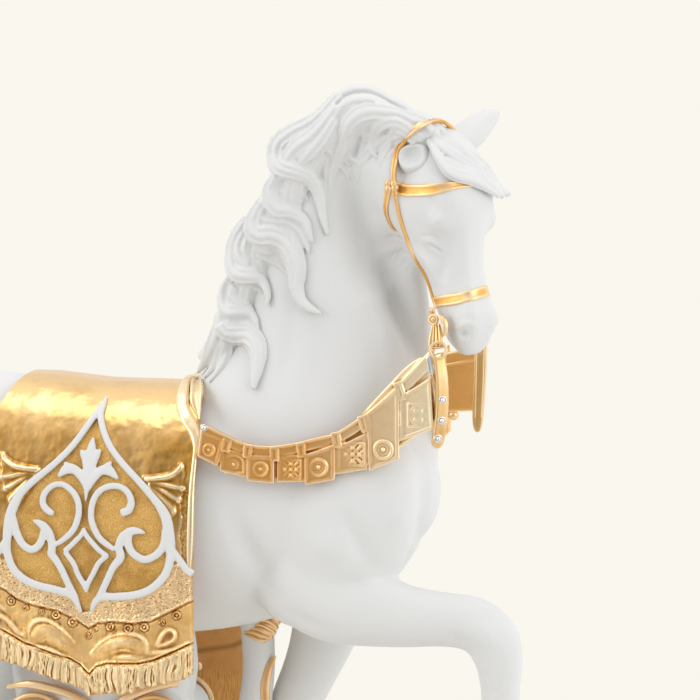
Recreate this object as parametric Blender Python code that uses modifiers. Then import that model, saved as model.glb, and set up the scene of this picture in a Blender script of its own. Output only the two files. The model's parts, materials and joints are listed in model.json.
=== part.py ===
"""A porcelain horse in parade dress, with the carved support under its belly, on a low plinth.

Metres, +Z up. The horse faces +X with its near (right) side towards -Y. The origin is the centre of
the plinth's underside. Shapes are written in millimetres from the top of the plinth, and place() turns
them to metres.
"""

import math

import bmesh
import bpy
from mathutils import Matrix, Vector
from mathutils.bvhtree import BVHTree

MM = 0.001

# Plinth
PLINTH_LENGTH = 390
PLINTH_WIDTH = 168
PLINTH_HEIGHT = 26
PLINTH_FOOT_HEIGHT = 11
PLINTH_STEP = 5
PLINTH_CORNER = 30
STANDING_GAP = 0.3

# How finely the forms are joined, and how many triangles stay
FLESH_VOXEL = 2.5
DRESS_VOXEL = 1.9
FLESH_SMOOTHING = 14
DRESS_SMOOTHING = 3
HORSE_TRIANGLES_KEPT = 0.0285

# Head: the poll, how far the face is turned to the near side, and how far the nose leads the poll
POLL = (173, -24, 454)
HEAD_TURN = math.radians(38.5)
FACE_TILT = math.radians(14)

# Saddle cloth
CLOTH_FRONT = 36
CLOTH_BACK = -90
CLOTH_THICKNESS = 4.5
HEM_AT_MIDDLE = 139
HEM_AT_CORNERS = 157

SIDEWAYS = Vector((0, 1, 0))


# Tools ------------------------------------------------------------------------------------------


def place(x, y, z):
    """A point in millimetres from the plinth's top, as metres in the part's frame."""
    return Vector((x, y, z + PLINTH_HEIGHT + STANDING_GAP)) * MM


def between(a, b, c, d, t):
    """Catmull-Rom: the value at t between b and c."""
    return 0.5 * (2 * b + (c - a) * t + (2 * a - 5 * b + 4 * c - d) * t**2 + (3 * b - a - 3 * c + d) * t**3)


def smooth_rows(rows, steps=4):
    """Rows of numbers with smooth rows put in between."""
    result = []
    for i in range(len(rows) - 1):
        around = [rows[max(0, min(len(rows) - 1, i + k))] for k in (-1, 0, 1, 2)]
        for step in range(steps):
            result.append([between(*column, step / steps) for column in zip(*around)])
    result.append(list(rows[-1]))
    return result


def new_object(name, mesh):
    data = bpy.data.meshes.new(name)
    bmesh.ops.recalc_face_normals(mesh, faces=mesh.faces)
    mesh.to_mesh(data)
    mesh.free()
    obj = bpy.data.objects.new(name, data)
    bpy.context.scene.collection.objects.link(obj)
    return obj


def loft(name, sections, side=SIDEWAYS, segments=20, steps=4):
    """A closed form through oval sections, each x, y, z, half depth, half width along side."""
    rows = smooth_rows(sections, steps)
    centres = [place(*row[:3]) for row in rows]
    count = len(rows)
    mesh = bmesh.new()
    bmesh.ops.create_uvsphere(mesh, u_segments=segments, v_segments=count + 1, radius=1)
    for vert in mesh.verts:
        latitude = math.acos(max(-1, min(1, vert.co.z)))
        ring = round(latitude / math.pi * (count + 1)) - 1
        index = max(0, min(count - 1, ring))
        ahead = centres[min(count - 1, index + 1)] - centres[max(0, index - 1)]
        ahead.normalize()
        across = (side - ahead * side.dot(ahead)).normalized()
        up = ahead.cross(across)
        depth, width = rows[index][3] * MM, rows[index][4] * MM
        if ring in (-1, count):
            outward = 1 if ring == count else -1
            vert.co = centres[index] + ahead * outward * 0.3 * min(depth, width)
            continue
        angle = math.atan2(vert.co.y, vert.co.x)
        vert.co = centres[index] + up * depth * math.sin(angle) + across * width * math.cos(angle)
    return new_object(name, mesh)


def mass(name, centre, radii, pitch=0.0, yaw=0.0):
    """An egg-shaped muscle."""
    mesh = bmesh.new()
    bmesh.ops.create_uvsphere(mesh, u_segments=24, v_segments=16, radius=1)
    turn = Matrix.Rotation(math.radians(yaw), 4, "Z") @ Matrix.Rotation(math.radians(pitch), 4, "Y")
    size = Matrix.Diagonal((*[r * MM for r in radii], 1))
    bmesh.ops.transform(mesh, matrix=Matrix.Translation(place(*centre)) @ turn @ size, verts=mesh.verts)
    return new_object(name, mesh)


def joined(name, pieces):
    """One object that holds the evaluated meshes of all the pieces."""
    graph = bpy.context.evaluated_depsgraph_get()
    mesh = bmesh.new()
    for piece in pieces:
        mesh.from_object(piece, graph)
        bpy.data.objects.remove(piece)
    return new_object(name, mesh)


def fuse(obj, voxel, smoothing):
    """Turns overlapping forms into one skin and softens it."""
    remesh = obj.modifiers.new("one skin", "REMESH")
    remesh.mode = "VOXEL"
    remesh.voxel_size = voxel * MM
    smooth = obj.modifiers.new("soften", "SMOOTH")
    smooth.factor = 0.5
    smooth.iterations = smoothing


# The horse's own body ---------------------------------------------------------------------------


def torso():
    sections = [
        (-166, 0, 256, 18, 20),
        (-157, 0, 258, 36, 34),
        (-137, 0, 258, 51, 44),
        (-110, 0, 256, 58, 49),
        (-80, 0, 250, 61, 49),
        (-40, 0, 241, 67, 51),
        (0, 0, 239, 69, 52),
        (30, 0, 241, 69, 49),
        (60, 0, 243, 65, 46),
        (90, 0, 244, 58, 43),
        (118, 0, 247, 53, 40),
        (139, 0, 251, 44, 33),
        (151, 0, 257, 29, 22),
    ]
    return loft("torso", sections, segments=32)


def neck():
    sections = [
        (84, 0, 262, 74, 42),
        (93, 0, 288, 72, 39),
        (104, -1, 327, 57, 31.5),
        (109, -5, 376, 48, 27),
        (117, -12, 404, 40, 24),
        (128, -18, 421, 36, 21),
        (148, -23, 424, 33, 20),
    ]
    return loft("neck", sections, segments=32)


def head_point(along, front, right=0.0):
    """A point of the head: along the face from the poll, out of its front, and to its right side."""
    forward = Vector((math.cos(HEAD_TURN), -math.sin(HEAD_TURN), 0))
    sideways = Vector((-math.sin(HEAD_TURN), -math.cos(HEAD_TURN), 0))
    down = forward * math.sin(FACE_TILT) - Vector((0, 0, math.cos(FACE_TILT)))
    out = forward * math.cos(FACE_TILT) + Vector((0, 0, math.sin(FACE_TILT)))
    return Vector(POLL) + down * along + out * front + sideways * right


def head():
    """Sections down the face: along, front, back, half width."""
    profile = [
        (-2, -6, -35, 15),
        (14, 6, -44, 20),
        (30, 10, -50, 25.5),
        (45, 11, -56, 28),
        (60, 6, -56, 23),
        (75, 2, -47, 19.5),
        (90, 3, -36, 17),
        (103, 5, -32, 16.5),
        (113, 0, -29, 14.5),
        (119, -6, -22, 10),
    ]
    sections = []
    for along, front, back, half_width in profile:
        centre = head_point(along, (front + back) / 2)
        sections.append((*centre, (front - back) / 2, half_width))
    sideways = Vector((math.sin(HEAD_TURN), math.cos(HEAD_TURN), 0))
    return loft("head", sections, side=sideways, segments=28)


def raised_foreleg():
    sections = [
        (86, -24, 216, 30, 20),
        (106, -27, 199, 26, 19),
        (128, -29, 193, 22, 17),
        (149, -29, 190, 18.5, 15),
        (170, -29, 189, 15.5, 13),
        (188, -29, 187, 15.5, 13.5),
        (200, -29, 179, 15.5, 14),
        (205, -29, 165, 13.5, 12.5),
        (204.5, -29, 152, 11, 11),
        (204, -29, 134, 10.5, 9.5),
        (205, -29, 114, 10.5, 9.5),
        (204, -29, 102, 12.5, 11.5),
        (198, -29, 91, 11, 11),
        (191, -29, 82, 13, 13),
        (186, -29, 76, 15, 15),
        (178, -29, 66, 17.5, 17),
    ]
    return loft("raised foreleg", sections)


def standing_foreleg():
    sections = [
        (104, 24, 228, 30, 20),
        (99, 28, 198, 26, 19),
        (92, 29, 169, 19.5, 16),
        (85, 30, 150, 16.5, 14.5),
        (77, 30, 132, 15, 13.5),
        (68, 30, 111, 14, 13),
        (63, 30, 98, 15, 14),
        (59, 30, 84, 12, 12),
        (55, 30, 66, 10, 9.5),
        (52, 30, 51, 10.5, 9.5),
        (51, 30, 40, 13, 12),
        (55, 30, 29, 11.5, 11.5),
        (59, 30, 19, 14, 14),
        (62, 30, 10, 16.5, 16),
        (66, 30, -7, 20, 19),
    ]
    return loft("standing foreleg", sections)


def hind_leg(name, y, stride):
    """A hind leg, with its hoof moved along X by stride."""
    sections = [
        (-120, y * 0.85, 248, 44, 22, 0),
        (-114, y, 214, 40, 22, 0.05),
        (-101, y, 184, 30, 19, 0.2),
        (-108, y, 157, 22, 16, 0.45),
        (-122, y, 132, 15, 12.5, 0.65),
        (-133, y, 112, 15, 12, 0.8),
        (-134, y, 98, 12.5, 11, 0.85),
        (-130, y, 76, 10, 9, 0.92),
        (-126, y, 54, 10, 9, 1),
        (-125, y, 41, 12.5, 11.5, 1),
        (-120, y, 29, 11, 11, 1),
        (-116, y, 19, 14, 13.5, 1),
        (-113, y, 10, 16.5, 15.5, 1),
        (-109, y, -7, 20, 18.5, 1),
    ]
    moved = [(x + stride * share, *rest) for x, *rest, share in sections]
    return loft(name, moved)


def muscles():
    masses = [
        mass("near shoulder", (112, -24, 236), (40, 24, 58), pitch=24),
        mass("far shoulder", (108, 24, 236), (40, 24, 58), pitch=24),
        mass("near breast", (130, -17, 243), (26, 20, 36), pitch=-8),
        mass("far breast", (130, 17, 243), (26, 20, 36), pitch=-8),
        mass("near elbow", (92, -28, 205), (26, 17, 24), pitch=-30),
        mass("withers", (26, 0, 292), (46, 22, 20), pitch=6),
        mass("near cheek", head_point(47, -34, 14), (22, 10, 22)),
        mass("far cheek", head_point(47, -34, -14), (22, 10, 22)),
        mass("near brow", head_point(46, -2, 19), (9, 7, 11)),
        mass("far brow", head_point(46, -2, -19), (9, 7, 11)),
        mass("near nostril", head_point(103, -4, 12), (9, 7, 9)),
        mass("far nostril", head_point(103, -4, -12), (9, 7, 9)),
        mass("near quarter", (-112, -24, 246), (48, 28, 56), pitch=12),
        mass("far quarter", (-112, 24, 246), (48, 28, 56), pitch=12),
    ]
    return masses


# Hair -------------------------------------------------------------------------------------------


def skin_of(obj):
    """The evaluated surface of an object, for finding where things lie on it."""
    return BVHTree.FromObject(obj, bpy.context.evaluated_depsgraph_get())


def depth_at(skin, x, z, fallback):
    """How far out to the near side the skin is at x, z, in millimetres."""
    start = place(x, -200, z)
    hit = skin.ray_cast(start, SIDEWAYS)[0]
    return fallback if hit is None else min(fallback, hit.y / MM)


# Each lock of the mane on the near side: its widest half width, then its route as x, z
MANE_LOCKS = [
    (7, (146, 463), (131, 467), (118, 466), (111, 459), (109, 450), (113, 446)),
    (6, (147, 456), (136, 461), (127, 459), (122, 452), (122, 444), (127, 438)),
    (6, (128, 466), (112, 466), (101, 460), (101, 447), (108, 438), (117, 430), (120, 423)),
    (7, (112, 462), (98, 454), (86, 447), (80, 438), (88, 434), (98, 427), (102, 412), (106, 396)),
    (7, (94, 447), (84, 437), (81, 426), (82, 414), (88, 408), (95, 401), (98, 390)),
    (7, (84, 428), (76, 414), (72, 404), (77, 397), (86, 388), (91, 376), (94, 363), (102, 354)),
    (7, (74, 412), (65, 399), (58, 388), (60, 379), (68, 373), (73, 366), (73, 356)),
    (6, (66, 394), (56, 379), (51, 366), (53, 358), (61, 354), (66, 348), (66, 341)),
    (6, (58, 372), (50, 354), (52, 346), (59, 342), (66, 335), (68, 324), (65, 311)),
    (6, (56, 366), (46, 344), (38, 332), (31, 322), (25, 315)),
]
FAR_SIDE_LOCKS = [
    (8, (132, 462), (112, 460), (96, 448), (92, 432), (100, 418), (112, 408)),
    (8, (104, 456), (86, 442), (74, 424), (76, 408), (88, 396), (94, 384)),
    (8, (84, 438), (68, 414), (60, 396), (66, 382), (78, 372), (80, 358)),
    (8, (70, 414), (54, 388), (46, 366), (52, 352), (62, 344), (62, 330)),
]


def hair_lock(name, skin, lock, side=1):
    """A tapering lock that lies on the skin."""
    half_width, *route = lock
    rows = []
    for i, (x, z) in enumerate(route):
        progress = i / (len(route) - 1)
        swell = half_width * (0.55 + 0.45 * math.sin(math.pi * min(1, progress * 1.3))) * (1 - 0.75 * progress**3)
        surface = depth_at(skin, x, z, -4)
        y = surface * (1 if side > 0 else -0.8) - side * 2
        rows.append((x, y, z, swell, max(2.5, swell * 0.75)))
    return loft(name, rows, segments=10, steps=3)


def mane(skin):
    bed = [
        (40, 0, 334, 9, 9),
        (54, -1, 360, 11, 12),
        (66, -4, 388, 12, 14),
        (80, -8, 416, 13, 15),
        (98, -13, 440, 13, 16),
        (119, -18, 453, 11, 15),
        (142, -22, 455, 9, 12),
    ]
    pieces = [loft("mane bed", bed, segments=14)]
    pieces += [hair_lock(f"mane lock {i}", skin, lock) for i, lock in enumerate(MANE_LOCKS)]
    pieces += [hair_lock(f"far lock {i}", skin, lock, side=-1) for i, lock in enumerate(FAR_SIDE_LOCKS)]
    return pieces


def forelock():
    routes = [
        (head_point(-2, -14, 4), head_point(4, 4, 2), head_point(12, 9, -4), head_point(20, 12, -11),
         head_point(28, 12, -18), head_point(34, 10, -24)),
        (head_point(0, -12, 8), head_point(8, 6, 6), head_point(16, 11, 0), head_point(24, 13, -8),
         head_point(31, 12, -14)),
    ]
    sizes = (4.5, 6, 6.5, 6, 4.5, 2)
    return [
        loft(f"forelock {i}", [(*point, size, size * 0.7) for point, size in zip(route, sizes)], segments=10)
        for i, route in enumerate(routes)
    ]


def ears():
    near = [(*head_point(10, -10, 10), 6, 6), (*head_point(9, -9, 19), 7.5, 7), (*head_point(7, -8, 27), 6, 6)]
    far = [
        (*head_point(8, -10, -8), 6, 6),
        (*head_point(3, -8, -15), 6, 6.5),
        (*head_point(-4, -6, -22), 5, 5.5),
        (*head_point(-11, -5, -29), 1.5, 2),
    ]
    return [loft("near ear", near, segments=12), loft("far ear", far, segments=12)]


def tail():
    dock = [(-158, 0, 278, 9, 9), (-172, 0, 280, 9, 9), (-184, 0, 268, 11, 11), (-190, 0, 240, 14, 15)]
    strands = []
    for i, (y, reach, sway) in enumerate([(-11, 52, 5), (-4, 40, -4), (4, 46, 4), (11, 60, -5)]):
        rows = []
        for step in range(9):
            progress = step / 8
            wave = sway * math.sin(progress * 2.2 * math.pi + i)
            size = 9.5 * (1 - progress**4) + 2
            rows.append((-184 - 12 * math.sin(progress * math.pi) + wave, y, 262 - progress * (262 - reach), size, size))
        strands.append(loft(f"tail strand {i}", rows, segments=12, steps=2))
    return [loft("dock", dock, segments=14), *strands]


# Dress ------------------------------------------------------------------------------------------

# Half of the cloth's cross section, from the ridge of the back to where it hangs plumb: y, z
CLOTH_DRAPE = [(0, 313), (14, 311.5), (28, 306), (40, 295), (48.5, 279), (53.5, 260), (56, 238), (56.5, 212), (57, 186)]


def cloth_hem(x):
    """The height of the hem at x: a shallow point under the middle."""
    middle = (CLOTH_FRONT + CLOTH_BACK) / 2
    share = abs(x - middle) / ((CLOTH_FRONT - CLOTH_BACK) / 2)
    return HEM_AT_MIDDLE + (HEM_AT_CORNERS - HEM_AT_MIDDLE) * share**0.8


def saddle_cloth():
    """A sheet over the back that hangs open below the belly, made solid to its thickness."""
    columns, rows = 20, 17
    mesh = bmesh.new()
    bmesh.ops.create_grid(mesh, x_segments=columns, y_segments=2 * rows, size=0.5)
    drape = smooth_rows(CLOTH_DRAPE, 4)
    for vert in mesh.verts:
        across = vert.co.y * 2
        share = abs(across)
        side = -1 if across < 0 else 1
        back = CLOTH_BACK + 20 * max(0, 1 - (share / 0.42) ** 2)
        front = CLOTH_FRONT - 6 * max(0, 1 - share / 0.3)
        x = back + (vert.co.x + 0.5) * (front - back)
        followed = min(1.0, share / 0.72) * (len(drape) - 1)
        low = min(len(drape) - 2, int(followed))
        t = followed - low
        y, z = (drape[low][k] * (1 - t) + drape[low + 1][k] * t for k in (0, 1))
        below = max(0.0, (share - 0.72) / 0.28)
        z += below * (cloth_hem(x) - z)
        fall = 2.5 * below * math.sin(x * 0.12)
        vert.co = place(x, side * (y + fall), z)
    sheet = new_object("saddle cloth", mesh)
    thick = sheet.modifiers.new("thickness", "SOLIDIFY")
    thick.thickness = CLOTH_THICKNESS * MM
    thick.offset = 0
    return sheet


# The rein along the near side, from the cloth to the bit: x, y, z of its middle and its half height
REIN = [
    (30, -50, 283, 8),
    (50, -49, 278, 9),
    (72, -47, 273, 9.5),
    (92, -45, 271.5, 10),
    (112, -43, 274, 12),
    (130, -41, 284, 14),
    (148, -42, 298, 15),
    (160, -43, 313, 12),
    (169, -43, 332, 5),
]
REIN_THICKNESS = 1.8


def rein(side):
    """The plaque band of one side. The far one ends at the far corner of the mouth."""
    rows = []
    for i, (x, y, z, half_height) in enumerate(REIN):
        pull = (i / (len(REIN) - 1)) ** 3
        if side > 0:
            x, y = x + 15 * pull, -y * (1 - pull) - 20 * pull
        rows.append((x, y, z, half_height, REIN_THICKNESS))
    return loft("near rein" if side < 0 else "far rein", rows, segments=12)


def rein_drops():
    """The studded straps that hang from the bit at both corners of the mouth."""
    near = [(172, -45, 336, 4.5, 2), (172, -44, 310, 4.5, 2), (171, -43, 281, 4.5, 2)]
    far = [(188, -19, 334, 4.5, 2), (189, -18, 312, 4.5, 2), (189, -17, 288, 4.5, 2)]
    return [loft("near drop", near, segments=12), loft("far drop", far, segments=12)]


def belly_support():
    """The carved stem of waves that carries the belly, and the branch beside it."""
    stem = [
        (-20, 0, -7, 62, 32),
        (-20, 0, 14, 56, 29),
        (-24, 0, 50, 44, 24),
        (-27, 0, 90, 44, 25),
        (-29, 0, 125, 50, 28),
        (-30, 0, 152, 54, 30),
        (-30, 0, 185, 50, 28),
    ]
    branch = [
        (26, 8, -7, 18, 16),
        (35, 10, 30, 13, 12),
        (47, 14, 75, 11, 10),
        (55, 17, 120, 9.5, 9),
        (57, 18, 150, 9, 9),
        (55, 16, 185, 10, 10),
    ]
    curls = [(-66, -20, 132, 17), (12, -20, 128, 16), (-70, 0, 66, 18), (16, 0, 62, 15), (-76, 0, 16, 19)]
    pieces = [loft("stem", stem, segments=24), loft("branch", branch, segments=14)]
    for i, (x, y, z, radius) in enumerate(curls):
        pieces.append(mass(f"curl {i}", (x, y, z), (radius, radius * 0.8, radius * 1.25), pitch=20 * (-1) ** i))
    return pieces


# Assembly ---------------------------------------------------------------------------------------


def material(name, colour, roughness, metallic=0.0):
    made = bpy.data.materials.new(name)
    made.use_nodes = True
    surface = made.node_tree.nodes["Principled BSDF"]
    surface.inputs["Base Color"].default_value = (*colour, 1)
    surface.inputs["Roughness"].default_value = roughness
    surface.inputs["Metallic"].default_value = metallic
    made.diffuse_color = (*colour, 1)
    return made


def make_horse(cutters):
    flesh = joined(
        "flesh",
        [
            torso(),
            neck(),
            head(),
            raised_foreleg(),
            standing_foreleg(),
            hind_leg("near hind leg", -31, -14),
            hind_leg("far hind leg", 31, 30),
            *muscles(),
        ],
    )
    fuse(flesh, FLESH_VOXEL, FLESH_SMOOTHING)
    skin = skin_of(flesh)
    dress = [*mane(skin), *forelock(), *ears(), *tail()]
    dress += [saddle_cloth(), rein(-1), rein(1), *rein_drops(), *belly_support()]
    horse = joined("horse", [flesh, *dress])
    fuse(horse, DRESS_VOXEL, DRESS_SMOOTHING)
    thin = horse.modifiers.new("fewer faces", "DECIMATE")
    thin.ratio = HORSE_TRIANGLES_KEPT

    ground = bmesh.new()
    depth = 60 * MM
    size = Matrix.Diagonal((PLINTH_LENGTH * 2 * MM, PLINTH_WIDTH * 2 * MM, depth, 1))
    top = place(0, 0, 0).z
    bmesh.ops.create_cube(ground, size=1, matrix=Matrix.Translation((0, 0, top - depth / 2)) @ size)
    cutter = new_object("level ground", ground)
    bpy.context.scene.collection.objects.unlink(cutter)
    cutters.objects.link(cutter)
    cutter.hide_render = True
    cutter.display_type = "WIRE"
    level = horse.modifiers.new("level feet", "BOOLEAN")
    level.operation = "DIFFERENCE"
    level.solver = "EXACT"
    level.object = cutter
    horse.data.materials.append(material("white porcelain", (0.83, 0.83, 0.82), 0.5))
    return horse


def make_base():
    """A plinth with rounded corners: a foot and a narrower top on it."""
    mesh = bmesh.new()
    size = Matrix.Diagonal((PLINTH_LENGTH * MM, PLINTH_WIDTH * MM, PLINTH_FOOT_HEIGHT * MM, 1))
    middle = Matrix.Translation((0, 0, PLINTH_FOOT_HEIGHT * MM / 2))
    bmesh.ops.create_cube(mesh, size=1, matrix=middle @ size)
    upright = [e for e in mesh.edges if abs(e.verts[0].co.z - e.verts[1].co.z) > MM]
    bmesh.ops.bevel(mesh, geom=upright, offset=PLINTH_CORNER * MM, segments=8, profile=0.5, affect="EDGES")
    top = max(mesh.faces, key=lambda face: face.calc_center_median().z)
    bmesh.ops.inset_region(mesh, faces=[top], thickness=PLINTH_STEP * MM)
    raised = bmesh.ops.extrude_face_region(mesh, geom=[top])
    lifted = [item for item in raised["geom"] if isinstance(item, bmesh.types.BMVert)]
    bmesh.ops.translate(mesh, vec=(0, 0, (PLINTH_HEIGHT - PLINTH_FOOT_HEIGHT) * MM), verts=lifted)
    bmesh.ops.delete(mesh, geom=[top], context="FACES_ONLY")
    base = new_object("base", mesh)
    base.data.materials.append(material("white glaze", (0.8, 0.8, 0.79), 0.35))
    return base


def main():
    for obj in list(bpy.data.objects):
        bpy.data.objects.remove(obj)
    sculpture = bpy.data.collections.new("horse sculpture")
    cutters = bpy.data.collections.new("cutters")
    bpy.context.scene.collection.children.link(sculpture)
    bpy.context.scene.collection.children.link(cutters)
    cutters.hide_render = True
    for obj in (make_horse(cutters), make_base()):
        bpy.context.scene.collection.objects.unlink(obj)
        sculpture.objects.link(obj)


main()
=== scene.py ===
"""The looks of a porcelain horse in gilded parade dress.

Shapes are written in millimetres above the level of the hooves, and spot() turns them to metres in the
part's frame. The horse faces +X, and its near (right) side is towards -Y.
"""

import json
import math
from functools import partial

import bpy
import numpy as np
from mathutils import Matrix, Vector

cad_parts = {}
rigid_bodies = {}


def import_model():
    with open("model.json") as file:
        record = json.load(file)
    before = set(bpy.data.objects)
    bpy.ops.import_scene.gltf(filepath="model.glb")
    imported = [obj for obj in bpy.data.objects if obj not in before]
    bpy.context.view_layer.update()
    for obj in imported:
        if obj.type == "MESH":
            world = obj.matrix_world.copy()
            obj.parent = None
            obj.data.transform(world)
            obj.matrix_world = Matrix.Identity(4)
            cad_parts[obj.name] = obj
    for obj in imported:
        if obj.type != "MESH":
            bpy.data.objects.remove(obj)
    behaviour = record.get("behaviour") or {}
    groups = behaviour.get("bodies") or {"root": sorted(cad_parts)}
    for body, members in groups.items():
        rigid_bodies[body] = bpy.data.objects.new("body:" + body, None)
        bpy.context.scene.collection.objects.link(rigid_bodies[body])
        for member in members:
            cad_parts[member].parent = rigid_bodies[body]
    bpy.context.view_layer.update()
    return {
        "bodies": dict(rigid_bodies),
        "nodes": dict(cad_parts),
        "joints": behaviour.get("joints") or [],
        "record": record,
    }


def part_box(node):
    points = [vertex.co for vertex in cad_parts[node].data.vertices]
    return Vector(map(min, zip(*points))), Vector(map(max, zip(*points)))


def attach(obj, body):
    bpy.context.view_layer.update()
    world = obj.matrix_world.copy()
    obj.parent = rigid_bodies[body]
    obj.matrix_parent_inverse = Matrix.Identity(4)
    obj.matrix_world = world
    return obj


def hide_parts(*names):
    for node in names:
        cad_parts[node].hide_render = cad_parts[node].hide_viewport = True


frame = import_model()

MM = 0.001
HOOF_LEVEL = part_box("horse")[0][2]
SIDEWAYS = np.array([0.0, 1.0, 0.0])

# Head: the poll, how far the face is turned to the near side, and how far the nose leads the poll
POLL = np.array([173.0, -24.0, 454.0])
HEAD_TURN = math.radians(38.5)
FACE_TILT = math.radians(14)
HEAD_AHEAD = np.array([math.cos(HEAD_TURN), -math.sin(HEAD_TURN), 0.0])
HEAD_RIGHT = np.array([-math.sin(HEAD_TURN), -math.cos(HEAD_TURN), 0.0])
HEAD_DOWN = HEAD_AHEAD * math.sin(FACE_TILT) - np.array([0, 0, math.cos(FACE_TILT)])
HEAD_OUT = HEAD_AHEAD * math.cos(FACE_TILT) + np.array([0, 0, math.sin(FACE_TILT)])


# Tools ------------------------------------------------------------------------------------------


def spot(points):
    """Millimetres from the level of the hooves, as metres in the part's frame."""
    return (np.asarray(points, float) + (0, 0, HOOF_LEVEL / MM)) * MM


def millimetres(points):
    """Metres in the part's frame, as millimetres from the level of the hooves."""
    return points / MM - (0, 0, HOOF_LEVEL / MM)


def only(obj):
    """Selects this object alone and makes it active."""
    bpy.ops.object.select_all(action="DESELECT")
    obj.select_set(True)
    bpy.context.view_layer.objects.active = obj


def points_of(obj):
    points = np.empty(len(obj.data.vertices) * 3)
    obj.data.vertices.foreach_get("co", points)
    return points.reshape(-1, 3)


def move_points(obj, points):
    obj.data.vertices.foreach_set("co", np.ascontiguousarray(points).ravel())
    obj.data.update()


def edit_whole(obj, operator, **settings):
    """Runs one edit-mode operator on the whole mesh."""
    only(obj)
    bpy.ops.object.mode_set(mode="EDIT")
    bpy.ops.mesh.select_all(action="SELECT")
    operator(**settings)
    bpy.ops.object.mode_set(mode="OBJECT")


def face_outwards(obj):
    edit_whole(obj, bpy.ops.mesh.normals_make_consistent, inside=False)


def named(name):
    """The form that was added last, with its name."""
    form = bpy.context.object
    form.name = name
    return form


def between(a, b, c, d, t):
    """The Catmull-Rom curve from b to c, a share t of the way."""
    return 0.5 * (2 * b + (c - a) * t + (2 * a - 5 * b + 4 * c - d) * t**2 + (3 * b - a - 3 * c + d) * t**3)


def smooth_rows(rows, steps):
    """Rows of numbers with Catmull-Rom rows put in between."""
    rows = np.asarray(rows, float)
    padded = np.vstack([rows[:1], rows, rows[-1:]])
    t = np.arange(steps)[:, None] / steps
    parts = [between(*four, t) for four in zip(padded, padded[1:], padded[2:], padded[3:])]
    return np.vstack([*parts, rows[-1:]])


def relaxed(values, times):
    """Draws values towards their neighbours and holds the two ends."""
    for _ in range(times):
        values[1:-1] = (values[:-2] + 2 * values[1:-1] + values[2:]) / 4
    return values


def distances(route):
    """How far along a route of straight legs each of its points is."""
    return np.concatenate([[0], np.cumsum(np.linalg.norm(np.diff(route, axis=0), axis=1))])


def close_by(points, route, reach):
    """Which points lie in the box of a route, made larger by reach."""
    return np.all((points > route.min(axis=0) - reach) & (points < route.max(axis=0) + reach), axis=1)


def line_at(route, x):
    """The second value of a route at each x."""
    route = np.asarray(route, float)
    return np.interp(x, route[:, 0], route[:, 1])


def unit(vectors):
    return vectors / np.maximum(np.linalg.norm(vectors, axis=-1, keepdims=True), 1e-12)


def ringed_sphere(name, segments, count):
    """A sphere primitive of count rings, the ring that each point is on, from -1 to count, and its angle."""
    bpy.ops.mesh.primitive_uv_sphere_add(segments=segments, ring_count=count + 1, radius=1)
    form = named(name)
    start = points_of(form)
    ring = np.rint(np.arccos(np.clip(start[:, 2], -1, 1)) / math.pi * (count + 1)).astype(int) - 1
    return form, ring, np.arctan2(start[:, 1], start[:, 0])


def loft(
    name, sections, side=SIDEWAYS, segments=24, steps=4, strands=0, depth=0.0, twist=0.0, square=1.0,
    ahead=None, channel=0.0,
):
    """A closed form through oval sections, each x, y, z, half depth, half width along side.

    The sections are the rings of a sphere primitive. Strands are ridges that run along the form, and
    square under 1 makes the sections boxier. Side is one direction, or one for each section. Ahead holds
    the sections square to one direction, as for a cup whose wall turns back inside. Channel sinks the
    middle of the outer face, as on a strap with raised edges.
    """
    rows = smooth_rows(sections, steps)
    centres = spot(rows[:, :3])
    count = len(rows)
    side = np.asarray(side, float)
    sides = smooth_rows(side, steps) if side.ndim == 2 else np.tile(side, (count, 1))
    if ahead is None:
        ahead = unit(np.gradient(centres, axis=0))
    else:
        ahead = np.tile(unit(np.asarray(ahead)), (count, 1))
    across = unit(sides - ahead * (sides * ahead).sum(axis=1, keepdims=True))
    up = np.cross(ahead, across)

    form, ring, angle = ringed_sphere(name, segments, count)
    at = np.clip(ring, 0, count - 1)
    turn = angle + twist * at / count
    ridge = 1.0
    if strands:
        ridge = 1 + depth * (0.65 * np.cos(strands * turn) + 0.35 * np.cos((strands * 2 - 3) * turn + 1))
    sine, cosine = np.sin(angle), np.cos(angle)
    sine = np.sign(sine) * np.abs(sine) ** square
    cosine = np.sign(cosine) * np.abs(cosine) ** square
    half_depth, half_width = rows[at, 3] * MM, rows[at, 4] * MM
    placed = centres[at] + up[at] * (half_depth * ridge * sine)[:, None]
    sunk = 1 - channel * np.exp(-((sine / 0.62) ** 4)) * (cosine > 0)
    placed += across[at] * (half_width * ridge * cosine * sunk)[:, None]
    caps = (ring < 0) | (ring == count)
    outward = np.where(ring < 0, -0.35, 0.35) * np.minimum(half_depth, half_width)
    placed[caps] = (centres[at] + ahead[at] * outward[:, None])[caps]
    move_points(form, placed)
    return form


def loft_outlines(name, outlines):
    """A closed form through outlines that all have the same number of points."""
    rows = np.asarray(outlines, float)
    count_round = rows.shape[1]
    rows = smooth_rows(rows.reshape(len(rows), -1), 4).reshape(-1, count_round, 3)
    count = len(rows)
    form, ring, angle = ringed_sphere(name, 48, count)
    at = np.clip(ring, 0, count - 1)
    share = (angle / (2 * math.pi)) % 1 * count_round
    index = np.floor(share + 1e-9).astype(int)
    t = (share - index)[:, None]
    a, b, c, d = (rows[at, (index + k) % count_round] for k in (-1, 0, 1, 2))
    placed = between(a, b, c, d, t)
    centres = rows.mean(axis=1)
    ahead = unit(np.gradient(centres, axis=0))
    caps = (ring < 0) | (ring == count)
    placed[caps] = (centres[at] + ahead[at] * np.where(ring < 0, -2.0, 2.0)[:, None])[caps]
    move_points(form, spot(placed))
    return form


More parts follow.
